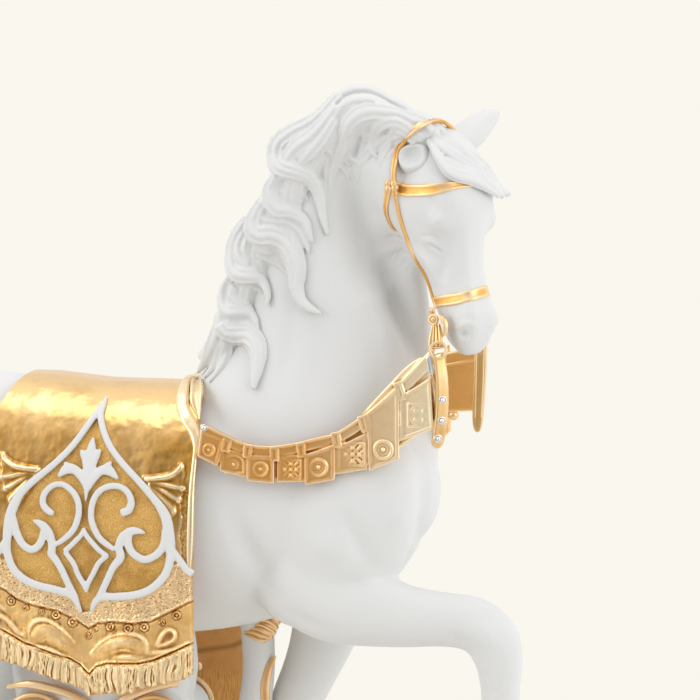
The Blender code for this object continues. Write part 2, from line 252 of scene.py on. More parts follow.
def mass(name, centre, radii, pitch=0.0):
    """An egg-shaped muscle."""
    size = [radius * MM for radius in radii]
    turn = (0, math.radians(pitch), 0)
    bpy.ops.mesh.primitive_uv_sphere_add(
        segments=32, ring_count=20, radius=1, location=spot(centre), rotation=turn
    )
    form = named(name)
    form.scale = size
    bpy.ops.object.transform_apply(location=True, rotation=True, scale=True)
    return form


def joined(name, forms):
    """One object of all the forms, at the origin."""
    only(forms[0])
    for form in forms:
        form.select_set(True)
    bpy.ops.object.join()
    bpy.ops.object.transform_apply(location=True, rotation=True, scale=True)
    whole = named(name)
    face_outwards(whole)
    return whole


def apply_modifier(obj, kind, **settings):
    only(obj)
    modifier = obj.modifiers.new(kind.lower(), kind)
    for key, value in settings.items():
        setattr(modifier, key, value)
    bpy.ops.object.modifier_apply(modifier=modifier.name)


def one_skin(obj, voxel, softening):
    """Turns overlapping forms into one skin and softens where they meet."""
    apply_modifier(obj, "REMESH", mode="VOXEL", voxel_size=voxel * MM)
    apply_modifier(obj, "SMOOTH", factor=0.5, iterations=softening)


def refine(obj, centre, radius):
    """Finer faces inside a ball, for small carving."""
    only(obj)
    bpy.ops.object.mode_set(mode="EDIT")
    bpy.ops.mesh.select_all(action="DESELECT")
    bpy.ops.object.mode_set(mode="OBJECT")
    middles = np.empty(len(obj.data.polygons) * 3)
    obj.data.polygons.foreach_get("center", middles)
    near = np.linalg.norm(middles.reshape(-1, 3) - spot(centre), axis=1) < radius * MM
    obj.data.polygons.foreach_set("select", near)
    bpy.ops.object.mode_set(mode="EDIT")
    bpy.ops.mesh.subdivide(number_cuts=1, smoothness=0)
    bpy.ops.object.mode_set(mode="OBJECT")


def on_skin(obj, point):
    """The nearest place on the skin and the way it faces, in metres."""
    _, place, normal, _ = obj.closest_point_on_mesh(Vector(spot(point)))
    return np.array(place), np.array(normal)


def nearest_on_route(points, route):
    """How far each point is from a route of straight legs, and how far along the route it is, from 0 to 1."""
    lengths = np.linalg.norm(np.diff(route, axis=0), axis=1)
    starts = distances(route)
    away, share = np.full(len(points), np.inf), np.zeros(len(points))
    for i, (start, end) in enumerate(zip(route, route[1:])):
        leg = end - start
        t = np.clip((points - start) @ leg / max(leg @ leg, 1e-18), 0, 1)
        gap = np.linalg.norm(points - start - t[:, None] * leg, axis=1)
        closer = gap < away
        away[closer] = gap[closer]
        share[closer] = (starts[i] + t[closer] * lengths[i]) / max(starts[-1], 1e-9)
    return away, share


def carve(obj, strokes):
    """Moves the skin along soft strokes that fade at their ends: height, half width, then the route."""
    points = points_of(obj)
    normals = np.empty(len(points) * 3)
    obj.data.vertex_normals.foreach_get("vector", normals)
    normals = normals.reshape(-1, 3)
    shift = np.zeros(len(points))
    for height, half_width, *route in strokes:
        route = smooth_rows([on_skin(obj, point)[0] for point in route], 5)
        reach = half_width * MM * 2.2
        near = close_by(points, route, reach)
        away, share = nearest_on_route(points[near], route)
        fade = np.sin(np.pi * np.clip(share, 0.06, 0.94)) ** 0.6
        shift[near] += height * MM * fade * np.exp(-((away / (half_width * MM)) ** 2) * 1.4)
    move_points(obj, points + normals * shift[:, None])


def head_point(along, front, right=0.0):
    """A point of the head: down the face from the poll, out of its front, and to its right side."""
    return POLL + HEAD_DOWN * along + HEAD_OUT * front + HEAD_RIGHT * right


def on_side(rows, side):
    """Rows that start with along, front and right, for the right side (1) or the left side (-1)."""
    return [(along, front, right * side, *more) for along, front, right, *more in rows]


def on_head(rows):
    """Rows that start with along, front and right, with the point of the body in their place."""
    return [(*head_point(*row[:3]), *row[3:]) for row in rows]


# The horse's own body ---------------------------------------------------------------------------

BODY_VOXEL = 2.35
HAIR_VOXEL = 0.72

TORSO = [
    (-166, 0, 256, 18, 20),
    (-157, 0, 258, 36, 34),
    (-137, 0, 258.5, 52, 44),
    (-110, 0, 257, 59.5, 49),
    (-80, 0, 251.5, 62.5, 49),
    (-40, 0, 241, 67, 51),
    (0, 0, 239, 69, 52),
    (30, 0, 241, 69, 49),
    (60, 0, 243, 65, 46),
    (90, 0, 244, 58, 43),
    (118, 0, 247, 52, 40),
    (137, 0, 250, 41, 33),
    (148, 0, 251, 30, 24),
]

NECK = [
    (82, 0, 262, 65, 42),
    (93, 0, 288, 72, 38),
    (104, -1, 327, 57, 29),
    (109, -5, 376, 48, 23.5),
    (117, -11, 404, 40, 20),
    (128, -16, 421, 36, 17.5),
    (148, -21, 424, 33, 17),
]

# Down the face: along, then the half outline from the nose line round to the jaw, as front, right
HEAD = [
    (-2, (-6, 0), (-8, 8), (-14, 13), (-24, 14), (-32, 9), (-36, 0)),
    (12, (5, 0), (4, 9), (-3, 17), (-18, 20), (-36, 14), (-45, 0)),
    (26, (8.5, 0), (7.5, 11.5), (0, 19.5), (-18, 23), (-42, 18), (-51, 0)),
    (40, (9.5, 0), (8.2, 12), (1, 20), (-20, 24.5), (-44, 20), (-54, 0)),
    (52, (7.4, 0), (5.6, 10), (-2, 17.6), (-24, 23), (-43, 19.5), (-51, 0)),
    (63, (4.2, 0), (2.6, 8), (-8.5, 15.3), (-23, 20.6), (-37, 16.5), (-44, 0)),
    (75, (2.0, 0), (0.6, 7.4), (-9.5, 13), (-18, 16), (-28, 11.5), (-33, 0)),
    (86, (1.4, 0), (0.2, 7), (-8.8, 11.6), (-18, 13.2), (-26, 10.5), (-30, 0)),
    (95, (2.0, 0), (1, 7.8), (-7.5, 11.4), (-17, 12.6), (-24, 10.5), (-28, 0)),
    (103, (3.2, 0), (2.2, 9.3), (-6, 12.6), (-15, 12.2), (-23, 9.5), (-26.5, 0)),
    (110, (0.8, 0), (-0.2, 9), (-7.5, 11.8), (-15, 11), (-21.5, 8.5), (-25.5, 0)),
    (117, (-4.6, 0), (-5, 7), (-9, 9.5), (-14.5, 9), (-19.5, 6), (-22.5, 0)),
    (121.5, (-10, 0), (-10.5, 4.5), (-12.5, 6), (-15, 6), (-17.5, 4), (-18.5, 0)),
]

RAISED_FORELEG = [
    (86, -24, 216, 30, 20),
    (106, -27, 199, 26, 19),
    (128, -29, 193, 22, 17),
    (149, -29, 189, 17.5, 15),
    (170, -29, 188, 15, 13),
    (187, -29, 186, 15, 13.5),
    (197, -29, 178, 15, 13.5),
    (201, -29, 165, 13, 12.5),
    (201.5, -29, 152, 11, 11),
    (202, -29, 134, 10.5, 9.5),
    (205, -29, 114, 10.5, 9.5),
    (204, -29, 102, 12.5, 11.5),
    (198, -29, 91, 11, 11),
    (191, -29, 82, 13, 13),
    (186, -29, 76, 15, 15),
    (178, -29, 66, 17.5, 17),
]

STANDING_FORELEG = [
    (104, 24, 228, 30, 20),
    (99, 28, 198, 26, 19),
    (92, 29, 169, 19.5, 16),
    (85, 30, 150, 16.5, 14.5),
    (77, 30, 132, 15, 13.5),
    (68, 30, 111, 14, 13),
    (63, 30, 98, 15, 14),
    (59, 30, 84, 12, 12),
    (55, 30, 66, 10, 9.5),
    (52, 30, 51, 10.5, 9.5),
    (51, 30, 40, 13, 12),
    (55, 30, 29, 11.5, 11.5),
    (59, 30, 19, 14, 14),
    (62, 30, 10, 16.5, 16),
    (66, 30, -7, 20, 19),
]

# The last number is how much of the stride a section takes
HIND_LEG = [
    (-120, 248, 44, 22, 0),
    (-114, 214, 40, 22, 0.05),
    (-101, 184, 30, 19, 0.2),
    (-108, 157, 22, 16, 0.45),
    (-122, 132, 15, 12.5, 0.65),
    (-133, 112, 15, 12, 0.8),
    (-134, 98, 12.5, 11, 0.85),
    (-130, 76, 10, 9, 0.92),
    (-126, 54, 10, 9, 1),
    (-125, 41, 12.5, 11.5, 1),
    (-120, 29, 11, 11, 1),
    (-116, 19, 14, 13.5, 1),
    (-113, 10, 16.5, 15.5, 1),
    (-109, -7, 20, 18.5, 1),
]


def hind_leg(name, y, stride):
    return loft(name, [(x + stride * share, y, z, *halves) for x, z, *halves, share in HIND_LEG])


def head_form():
    outlines = []
    for along, *half in HEAD:
        near = [head_point(along, front, right) for front, right in half]
        far = [head_point(along, front, -right) for front, right in half[-2:0:-1]]
        outlines.append(near + far)
    return loft_outlines("head", outlines)


def muscles():
    return [
        mass("near shoulder", (112, -24, 236), (40, 24, 58), pitch=24),
        mass("far shoulder", (102, 24, 242), (36, 24, 52), pitch=24),
        mass("near breast", (129.5, -17, 263), (26, 20, 27), pitch=-8),
        mass("far breast", (128, 17, 262), (26, 20, 27), pitch=-8),
        mass("breast bone", (138.5, 1, 258), (24.5, 24, 35), pitch=-8),
        mass("near elbow", (92, -28, 205), (26, 17, 24), pitch=-30),
        mass("withers", (26, 0, 290), (46, 22, 20), pitch=6),
        mass("near ear base", head_point(16, -14, 13), (9, 9, 9)),
        mass("near brow", head_point(50, -3, 15), (8, 6, 8)),
        mass("far brow", head_point(50, -3, -15), (8, 6, 8)),
        mass("near quarter", (-112, -24, 246), (48, 28, 56), pitch=12),
        mass("far quarter", (-112, 24, 246), (48, 28, 56), pitch=12),
    ]


def near_ear():
    """A thick-rimmed cup that opens to the front and the near side."""
    cup = [
        (17.0, -15, 10.5, 12.5, 11.5),
        (16.2, -13.0, 14.6, 11.2, 10.2),
        (15.4, -11.2, 18.2, 9.9, 8.8),
        (14.8, -9.9, 21.0, 9.0, 7.8),
        (14.4, -9.0, 23.0, 7.9, 6.8),
        (14.2, -9.0, 23.5, 6.6, 5.4),
        (13.6, -9.8, 22.8, 5.4, 4.2),
        (13.0, -10.6, 21.8, 4.2, 3.0),
        (12.8, -11.0, 21.2, 2.8, 2.0),
        (12.8, -11.0, 20.9, 1.2, 0.8),
    ]
    facing = HEAD_OUT * 0.5 + HEAD_RIGHT * 0.86
    ear = loft("near ear", on_head(cup), side=-HEAD_DOWN, segments=32, square=0.85, ahead=facing)
    one_skin(ear, 0.6, 5)
    return ear


def far_ear():
    """A folded leaf that points up beyond the forelock."""
    leaf = [
        (8, -10, -10, 7.5, 6.0),
        (4, -9, -18, 8.0, 5.4),
        (0, -8, -25, 7.6, 4.6),
        (-4, -7, -31.5, 6.2, 3.6),
        (-7, -6, -37, 4.2, 2.6),
        (-8.6, -5.4, -40.0, 2.0, 1.4),
    ]
    return loft("far ear", on_head(leaf), side=HEAD_OUT, segments=36, strands=3, depth=0.16)


# Strokes on both sides of the head: height, half width, then the route as along, front, right
HEAD_STROKES = [
    # temple fold and the socket behind the eye
    (-1.0, 3.6, (33, 0, 23), (40, -1, 23), (47, 0, 21)),
    (-1.2, 4.0, (56, -22, 22), (64, -17, 21), (70, -12, 19)),
    # crease, upper lid, slit and lower lid
    (-0.55, 1.1, (56.8, -15, 21.5), (57.6, -10.5, 20.8), (60, -6.5, 19), (64.5, -5.2, 16.8)),
    (0.75, 1.7, (59.8, -14, 20.5), (61, -9.8, 19.6), (64.5, -7.2, 17.6)),
    (-0.9, 0.8, (61.6, -13, 19.4), (63.6, -10, 18.4), (67.4, -7.6, 16)),
    (-0.5, 0.9, (64.6, -8.6, 17.4), (67.4, -7.2, 15.8)),
    (0.4, 1.1, (64.4, -12.4, 19), (66.8, -10, 17.6), (70, -8.4, 15.6)),
    # the hollow beside the nose and the crest of the cheek bone
    (-1.8, 4.6, (66, -4.4, 15.2), (71, -7, 15.4), (77, -10.5, 15), (84, -14.5, 14)),
    (-0.9, 5.0, (78, -3.5, 13), (94, -5.5, 12.4)),
    (0.9, 2.4, (64, -19, 21.5), (72, -18, 19), (80, -19, 16)),
    # nostril, lips and chin
    (-2.4, 2.6, (112.6, -4.4, 8), (110.6, -7.4, 10.2)),
    (1.0, 2.2, (109, -8.4, 11.3), (106.6, -2, 10), (109.6, 2, 5.5)),
    (-0.9, 1.1, (106, -19, 12.6), (113, -17, 10.6), (119, -14, 6)),
    (0.6, 2.0, (109, -21, 9.6), (115, -19, 6.5)),
]
# Strokes on the body: height, half width, then the route
BODY_STROKES = [
    # the hollow of the neck, and the throat behind the jaw
    (-16, 17, (117, -30, 438), (116, -28, 424), (118, -27, 410), (124, -22, 392), (132, -18, 376),
     (139, -17, 360)),
    (-12.5, 11, (138, -26, 386), (142, -22, 374), (146, -19, 360), (151, -16, 346), (155, -13, 334),
     (158, -11, 322)),
    # faint creases of skin behind the jaw
    (-0.6, 1.8, (122, -28, 410), (125, -26, 399), (131, -24, 388)),
    (-0.6, 1.8, (127, -28, 412), (129, -26, 402), (133, -25, 393)),
    (-0.6, 1.8, (118, -29, 400), (121, -27, 388), (127, -24, 376)),
    # shoulder, breast and elbow of the near side
    (-3.0, 8, (57, -45, 246), (61, -44, 235), (66, -43, 223), (72, -41, 211), (79, -42, 200)),
    (-1.0, 6, (58, -45, 246), (73, -44, 252), (94, -43, 255), (112, -44, 256)),
    (-2.6, 6, (119, -46, 253), (121, -46, 243), (126, -46, 232), (132, -42, 219)),
    (1.8, 9, (104, -48, 232), (116, -47, 224)),
    (1.0, 8, (118, -47, 221), (137, -39, 207), (162, -40, 198)),
    (1.6, 10, (141, -36, 250), (146, -30, 240)),
    (-1.2, 5, (84, -44, 192), (96, -46, 184), (112, -46, 180)),
    (-0.9, 6, (120, -36, 382), (132, -34, 340), (140, -30, 304)),
    (-1.0, 7, (84, -34, 380), (84, -38, 340), (76, -44, 308)),
    # knee and cannon of the raised leg
    (0.9, 5, (194, -40, 186), (201, -40, 174)),
    (-1.5, 4.5, (177, -41, 183), (184, -38, 174)),
    (-0.8, 3.5, (190, -40, 193), (199, -39, 189)),
    (-0.8, 3, (186, -42, 180), (194, -42, 168)),
    (-0.7, 3, (201, -42, 150), (201, -41, 118)),
    (-0.7, 1.6, (192, -42, 92), (184, -42, 82)),
]


def strokes_of_the_skin():
    strokes = []
    for side in (1, -1):
        for height, half_width, *route in HEAD_STROKES:
            strokes.append((height, half_width, *on_head(on_side(route, side))))
    return strokes + BODY_STROKES


def make_body():
    body = joined(
        "horse_body",
        [
            loft("torso", TORSO, segments=40),
            loft("neck", NECK, segments=40),
            head_form(),
            loft("raised foreleg", RAISED_FORELEG),
            loft("standing foreleg", STANDING_FORELEG),
            hind_leg("near hind leg", -31, -14),
            hind_leg("far hind leg", 31, 30),
            *muscles(),
        ],
    )
    one_skin(body, BODY_VOXEL, 8)
    refine(body, head_point(62, -20), 74)
    for side in (1, -1):
        refine(body, head_point(64, -9, 18 * side), 11)
        refine(body, head_point(110.5, -5, 9 * side), 8)
    carve(body, strokes_of_the_skin())
    level_feet(body)
    return joined("horse_body", [body, near_ear(), far_ear()])


def level_feet(body):
    level = (0, 0, HOOF_LEVEL)
    edit_whole(body, bpy.ops.mesh.bisect, plane_co=level, plane_no=(0, 0, 1), use_fill=True, clear_inner=True)


# Hair -------------------------------------------------------------------------------------------

# Locks of the mane on the near side: widest half width, how far it stands out, then the route as x, z
NEAR_LOCKS = [
    (2.8, 1.0, (163, 457), (153, 465), (142, 470), (131, 472), (123, 471.5), (116, 469), (109, 466),
     (105.5, 460), (105.5, 452), (108.5, 445), (113, 438), (118, 432)),
    (3.2, 0.6, (164, 452), (152, 461), (140, 466), (133, 467), (124, 466), (117, 463), (112, 458),
     (111, 451), (114, 444), (119, 438)),
    (4.4, 1.4, (164, 450), (156, 459), (146, 463), (135, 462), (126, 459), (120, 454), (117, 448),
     (117, 441), (120, 436), (125, 434)),
    (2.8, 0.8, (160, 448), (152, 456), (144, 460), (135, 459), (129, 456), (126, 450), (128, 444)),
    (3.4, 1.4, (158, 450), (151, 457), (143, 459), (136, 455), (132, 449), (131, 442), (134, 437)),
    (3.0, 1.0, (156, 447), (150, 454), (145, 454), (142, 449), (142, 443)),
    (6.8, 2.2, (113, 467), (105, 460), (97, 454), (88, 450), (80, 445), (79, 438), (81, 433), (87, 430),
     (96, 426), (101, 417), (103, 406), (106, 395)),
    (4.8, 1.2, (113, 462), (105, 454), (97, 447), (89, 442), (84, 435), (88, 432), (94, 430)),
    (4.4, 0.8, (112, 456), (105, 447), (98, 440), (93, 434), (96, 428)),
    (2.8, 0.1, (106, 454), (106, 446), (109, 438), (114, 431), (117, 424)),
    (3.4, 0.2, (93, 442), (88, 438), (88, 433), (94, 429)),
    (2.6, 0.4, (82, 405), (87, 402), (91, 397), (94, 392)),
    (4.2, -0.9, (82, 442), (87, 437), (92, 431)),
    (3.6, -0.7, (86, 405), (91, 400), (95, 393), (96, 388)),
    (3.8, 2.4, (78, 427), (74, 421), (74, 414), (78, 408), (85, 407), (93, 403), (96, 397), (98, 391)),
    (3.4, 1.4, (73, 418), (70, 410), (71, 404), (77, 403), (84, 402), (91, 397), (94, 391), (96, 385)),
    (1.7, -0.4, (80, 418), (88, 419), (93, 416), (96, 411)),
    (6.0, 3.2, (71, 413), (66, 405), (65, 399), (68, 395), (75, 395), (83, 391), (87, 384), (89, 376),
     (89, 367), (92, 359), (98, 355), (103, 353)),
    (3.0, 1.0, (67, 395), (67, 388), (72, 386), (78, 386), (83, 381), (86, 374)),
    (2.0, 0.4, (66, 384), (73, 381), (79, 378), (85, 372), (87, 365)),
    (4.4, 2.8, (60, 403), (54, 395), (51, 386), (51, 378), (54, 373), (60, 372), (66, 371), (70, 367),
     (72, 361), (71, 356)),
    (2.8, 1.6, (58, 396), (55, 389), (56, 381), (60, 376), (66, 375)),
    (2.2, 0.8, (61, 393), (59, 386), (61, 379)),
    (1.7, -0.2, (55, 368), (62, 367), (68, 363), (71, 358)),
    (3.6, 2.4, (49, 370), (45, 364), (45, 356), (48, 352), (54, 352), (61, 351), (64, 348), (66, 343)),
    (2.2, 1.2, (52, 366), (50, 361), (53, 357), (59, 356), (63, 352)),
    (5.7, 3.0, (44, 345), (47, 341), (54, 340), (61, 339), (66, 333), (67, 324), (66, 316), (66, 311)),
    (4.6, 1.0, (44, 351), (43, 341), (39, 333), (34, 325), (28, 317)),
    (3.8, 1.6, (46, 339), (44, 330), (40, 322), (33, 315)),
    (2.6, 1.2, (48, 336), (47, 327), (43, 320), (37, 313)),
    # broad underlayers that fill the gaps between them
    (7.0, -1.4, (151, 452), (144, 451), (136, 446), (129, 438), (124, 430), (121, 422)),
    (5.0, -1.6, (151, 447), (146, 445), (141, 439), (137, 432), (134, 425)),
    (5.0, -0.8, (136, 454), (128, 449), (122.5, 442), (119, 434), (118, 427)),
    (3.6, -0.7, (71, 388), (78, 383), (82, 375)),
    (3.6, -0.6, (56, 353), (62, 348), (66, 341)),
    (7.5, -1.9, (134, 461), (120, 455), (111, 443), (105, 431), (104, 419), (105, 409)),
    (6.5, -1.9, (99, 440), (90, 427), (85, 413), (87, 401), (92, 389), (92, 380)),
    (5.0, -1.9, (77, 403), (68, 391), (66, 379), (69, 368), (70, 360)),
    (4.5, -1.9, (61, 371), (56, 360), (59, 349), (63, 339), (64, 331)),
    (5.5, -1.4, (51, 349), (47, 336), (41, 324), (34, 315)),
]
FAR_LOCKS = [
    (6, 2, (132, 462), (112, 460), (98, 448), (94, 434), (102, 420), (112, 410)),
    (6, 2, (104, 456), (88, 442), (78, 424), (80, 410), (90, 396), (96, 384)),
    (6, 2, (84, 436), (72, 414), (64, 398), (70, 384), (80, 372), (82, 358)),
    (6, 2, (70, 412), (58, 390), (52, 368), (56, 352), (64, 344), (66, 330)),
    (5, 2, (60, 380), (50, 352), (44, 336), (36, 324), (28, 316)),
]
# The hair's bed on the crest of the neck, from the withers to the poll
MANE_BED = [
    (34, -1, 322, 9, 10),
    (45, -2, 339, 10, 13),
    (54, -3, 356, 12, 14),
    (61, -5, 374, 14, 15),
    (70, -8, 392, 16, 16),
    (80, -11, 412, 16, 16),
    (89, -14, 430, 15, 16),
    (99, -17, 443, 14, 15),
    (112, -19, 453, 13, 15),
    (128, -22, 459, 12, 15),
    (141, -23, 459, 12, 14),
    (152, -24, 454, 12, 14),
    (161, -24, 446, 11, 13),
    (167, -22, 438, 9, 11),
]


# The crest of the neck, where locks that miss the skin lie: height and y
CREST_MIDDLE = [(300, -2), (380, -6), (420, -13), (470, -21)]


def hair_lock(name, skin, lock, near=True):
    """A tapering grooved lock that lies on the neck and stands a little off it."""
    half_width, stand, *route = lock
    flat = smooth_rows(route, 3)
    count = len(flat)
    progress = np.linspace(0, 1, count)
    way = 1 if near else -1
    depths = np.empty(count)
    for i, (x, z) in enumerate(flat):
        hit, place, _, _ = skin.ray_cast(Vector(spot((x, -200 * way, z))), Vector((0, way, 0)))
        depths[i] = place.y / MM if hit else np.nan
    crest = line_at(CREST_MIDDLE, flat[:, 1])
    depths = np.where(np.isnan(depths), crest - 5 * way, depths)
    depths = np.where(depths * way > (crest - 5 * way) * way, crest - 5 * way, depths)
    depths = relaxed(depths, 4)
    fullness = 0.7 + 0.3 * np.sin(np.pi * np.clip(progress * 1.3, 0, 1))
    swell = (1.05 * half_width + 0.5) * fullness * (1 - 0.82 * progress**4)
    thick = np.clip(swell * 0.6 + 0.5, 1.2, 4.4)
    rows = np.column_stack([flat[:, 0], depths - way * (stand - 0.3 * thick), flat[:, 1], swell, thick])
    return loft(
        name, rows, segments=48, steps=1, strands=max(5, int(1.6 * half_width)), depth=0.2, twist=0.7 * way,
    )


# How far the crest of the mane settles along its length: x, rise
CREST_SETTLE = [
    (40, 0), (60, -1), (68, -2), (75, -2), (82, -2), (89, -2), (94, -2), (99, -2.6), (104, -1.4),
    (110, 1.4), (116, 2.4), (123, 1.2), (130, 0), (135, -1.5), (141, -3.6), (148, -4), (154, -5), (161, -2),
    (170, 0),
]


# The top of the mane: x, z
CREST_TOP = [(60, 403), (70, 440), (90, 461), (110, 474), (140, 470), (160, 462)]


def make_mane(body):
    bed = loft("mane bed", MANE_BED, segments=64, strands=11, depth=0.03, twist=0.5)
    skin = joined("mane skin", [copy_of(body), copy_of(bed)])
    forms = [bed]
    forms += [hair_lock(f"near lock {i}", skin, lock) for i, lock in enumerate(NEAR_LOCKS)]
    forms += [hair_lock(f"far lock {i}", skin, lock, near=False) for i, lock in enumerate(FAR_LOCKS)]
    bpy.data.objects.remove(skin)
    mane = joined("mane", forms)
    one_skin(mane, HAIR_VOXEL, 1)
    points = points_of(mane) / MM
    level = points[:, 2] - HOOF_LEVEL / MM
    crest = line_at(CREST_TOP, points[:, 0])
    points[:, 2] += line_at(CREST_SETTLE, points[:, 0]) * np.clip(1 + (level - crest) / 30, 0, 1)
    move_points(mane, points * MM)
    return mane


def copy_of(obj):
    twin = obj.copy()
    twin.data = obj.data.copy()
    bpy.context.scene.collection.objects.link(twin)
    return twin


FORELOCK = [
    # half width, then the route as along, front, right
    (3.2, (1.4, -2.5, 9), (6.8, 2.6, 5.6), (13.2, 6.9, 4.5), (17.4, 8.2, 0.2), (21, 8.2, -6),
     (25.4, 9.2, -9.8), (30.4, 9.6, -12.8), (36, 10.6, -16), (39.6, 11.4, -20), (40.4, 12, -23)),
    (3.4, (3.2, -3.6, 13.7), (10.5, 3.2, 13.6), (16.6, 7.7, 11), (21.4, 9.4, 5.6), (25.4, 10, 0),
     (29.4, 10.8, -5), (34.2, 11.4, -9.4), (38.6, 11.8, -14), (42, 11.6, -18.2)),
    (3.2, (4.2, -4.6, 15.3), (12.8, 2.2, 17.2), (20.4, 6.3, 17), (26, 8.9, 15.6), (29.2, 10.7, 11.4),
     (31, 11.2, 4.8), (34, 11.8, -2), (37.8, 12.2, -8.6), (41.6, 12, -14.6)),
    (2.2, (13.6, 3.2, 17), (20.2, 7.9, 15.6), (24.9, 10.7, 10.9), (27.8, 11.4, 3.6), (31, 12, -3),
     (35, 12.6, -8.6)),
    (1.8, (6, -2.2, 12.4), (13.4, 6.6, 11.8), (19, 9.6, 7.6), (22.8, 10.6, 1.4)),
    (1.8, (10, 2.2, 5), (16.6, 9.4, 2.8), (21, 10.2, -2.6), (26, 11, -7.6)),
    (4.6, (4, -3.5, 9), (10, 1.8, 9), (16, 5.4, 6.5), (22, 7.2, 2), (28, 8.4, -4), (34, 9.2, -9)),
]


def make_forelock():
    forms = []
    grooves = {"strands": 5, "depth": 0.16, "twist": 1.2}
    for i, (half_width, *route) in enumerate(FORELOCK):
        points = [head_point(*point) for point in route]
        sizes = half_width * (0.26 + 0.86 * np.sin(np.linspace(0.25, np.pi * 0.94, len(points))))
        rows = [(*point, size, max(1.2, size * 0.7)) for point, size in zip(points, sizes)]
        forms.append(loft(f"forelock {i}", rows, side=HEAD_OUT, segments=48, **grooves))
    forelock = joined("forelock", forms)
    one_skin(forelock, HAIR_VOXEL * 0.7, 1)
    return forelock


# Locks of the tail, as y, height of the tip, sway, half thickness
TAIL_LOCKS = [
    (-11, 58, 4, 7.5), (-7, 36, -5, 8), (-2, 46, 5, 8.5), (3, 30, -4, 8.5), (7.5, 44, 5, 8),
    (11, 66, -4, 7.5), (0, 74, 7, 8),
]


def make_tail():
    dock = [
        (-156, 0, 276, 9, 9), (-168, 0, 283, 10, 10), (-179, 0, 281, 10.5, 10.5), (-187, 0, 266, 10, 11),
        (-191, 0, 240, 9, 11), (-192, 0, 215, 5, 6),
    ]
    forms = [loft("dock", dock, segments=60, strands=14, depth=0.05)]
    for i, (y, reach, sway, size) in enumerate(TAIL_LOCKS):
        progress = np.linspace(0, 1, 12)
        opening = np.sin(np.minimum(1, progress * 3.4) * math.pi / 2)
        x = -172 - 19 * opening - 4 * np.sin(progress * math.pi) + sway * progress * np.sin(progress * 5 + i)
        z = 284 - 7 * opening - (277 - reach) * progress**1.15
        sizes = size * (0.3 + 0.7 * opening) * (1 - progress**3) + 0.8
        rows = np.column_stack([x, y * (0.35 + 0.65 * opening), z, sizes, sizes])
        forms.append(loft(f"tail lock {i}", rows, segments=48, strands=9, depth=0.12, twist=0.7))
    return joined("tail", forms)


# Saddle cloth -----------------------------------------------------------------------------------

CLOTH_FRONT = 37.6
CLOTH_BACK = -90
CLOTH_STEP = 0.56
CLOTH_THICKNESS = 3.6

# The hang of the near side from the ridge of the back: distance out, height
DRAPE = [
    (0, 315), (14, 313.5), (28, 308), (40, 297), (48.5, 281), (54, 260), (57, 238), (58.5, 212),
    (59.5, 186), (60, 160), (60.2, 134), (60, 96),
]

# The lower edge of the fringe, the hem, the row of studs and the foot of the hammered band, as x, z
FRINGE_END = [
    (-91, 160), (-72, 157), (-59, 153.5), (-47, 149), (-34, 145.5), (-28, 143), (-23, 139.5), (-15, 141),
    (-1, 142), (7, 145), (22, 148.5), (30, 150.5), (37, 155),
]
HEM = [
    (-91, 181), (-72, 172.7), (-60.5, 167), (-53, 165), (-43, 161.5), (-34, 159), (-28, 155.5),
    (-23.5, 150.5), (-19, 155), (-13, 157), (6, 158), (14, 160), (24, 164.5), (37.4, 171),
]
STUDS = [
    (-86, 197, 1.0), (-77, 194, 0.75), (-68.3, 191.8, 1.05), (-59.3, 188.4, 0.7), (-50.3, 186.6, 0.7),
    (-42.1, 185, 1.05), (-32.6, 181.2, 1.15), (-23.6, 173.6, 0.75), (-19.4, 177.8, 0.6), (-11, 179.4, 1.05),
    (-0.3, 179, 1.05), (9, 180, 1.05), (19.1, 182.9, 0.75), (27.2, 187.2, 1.05),
]
BAND_FOOT = [
    (-91, 205), (-72, 198.7), (-65, 193.8), (-56, 191), (-48.7, 189.6), (-40.2, 187.7), (-30, 183),
    (-23.3, 178.8), (-18.3, 182), (-8.7, 183), (1.4, 182.5), (12.6, 184.2), (24, 190), (37, 197),
]

# The white arabesque, as x, z, half width
OGEE_FRONT = [
    (-17.6, 306, 0.7), (-18, 301.5, 1.7), (-18.6, 297, 2.0), (-16, 289, 1.95), (-11.2, 279.6, 2.0),
    (-4.2, 270.8, 2.0), (5, 261.3, 2.1), (13.8, 251.7, 2.4), (20.3, 242.7, 3.1), (22.6, 234.4, 3.3),
    (24, 225.2, 2.9), (23.7, 218, 2.6), (20.7, 209.3, 2.5), (12.9, 201.5, 2.4), (3.5, 197.8, 2.4),
    (-7.2, 196.5, 2.4), (-15.1, 196, 2.2), (-19.4, 193, 1.9), (-21.7, 187.5, 0.8),
]
OGEE_REAR = [
    (-19.4, 301, 1.2), (-21.5, 297, 1.8), (-24, 292.8, 1.9), (-28.4, 286, 1.95), (-34.7, 277.8, 2.0),
    (-44.2, 268.6, 2.0), (-54.5, 260.2, 2.2), (-62.9, 252.4, 2.5), (-68, 242.6, 3.1), (-70, 232.7, 3.0),
    (-70.6, 224.6, 2.6), (-70.2, 218.2, 2.5), (-67.5, 211.2, 2.4), (-62.4, 205.7, 2.4), (-53.8, 201.6, 2.4),
    (-43.1, 199.4, 2.4), (-35.9, 197.6, 2.3), (-31.2, 194.5, 1.9), (-27.3, 187, 0.8),
]
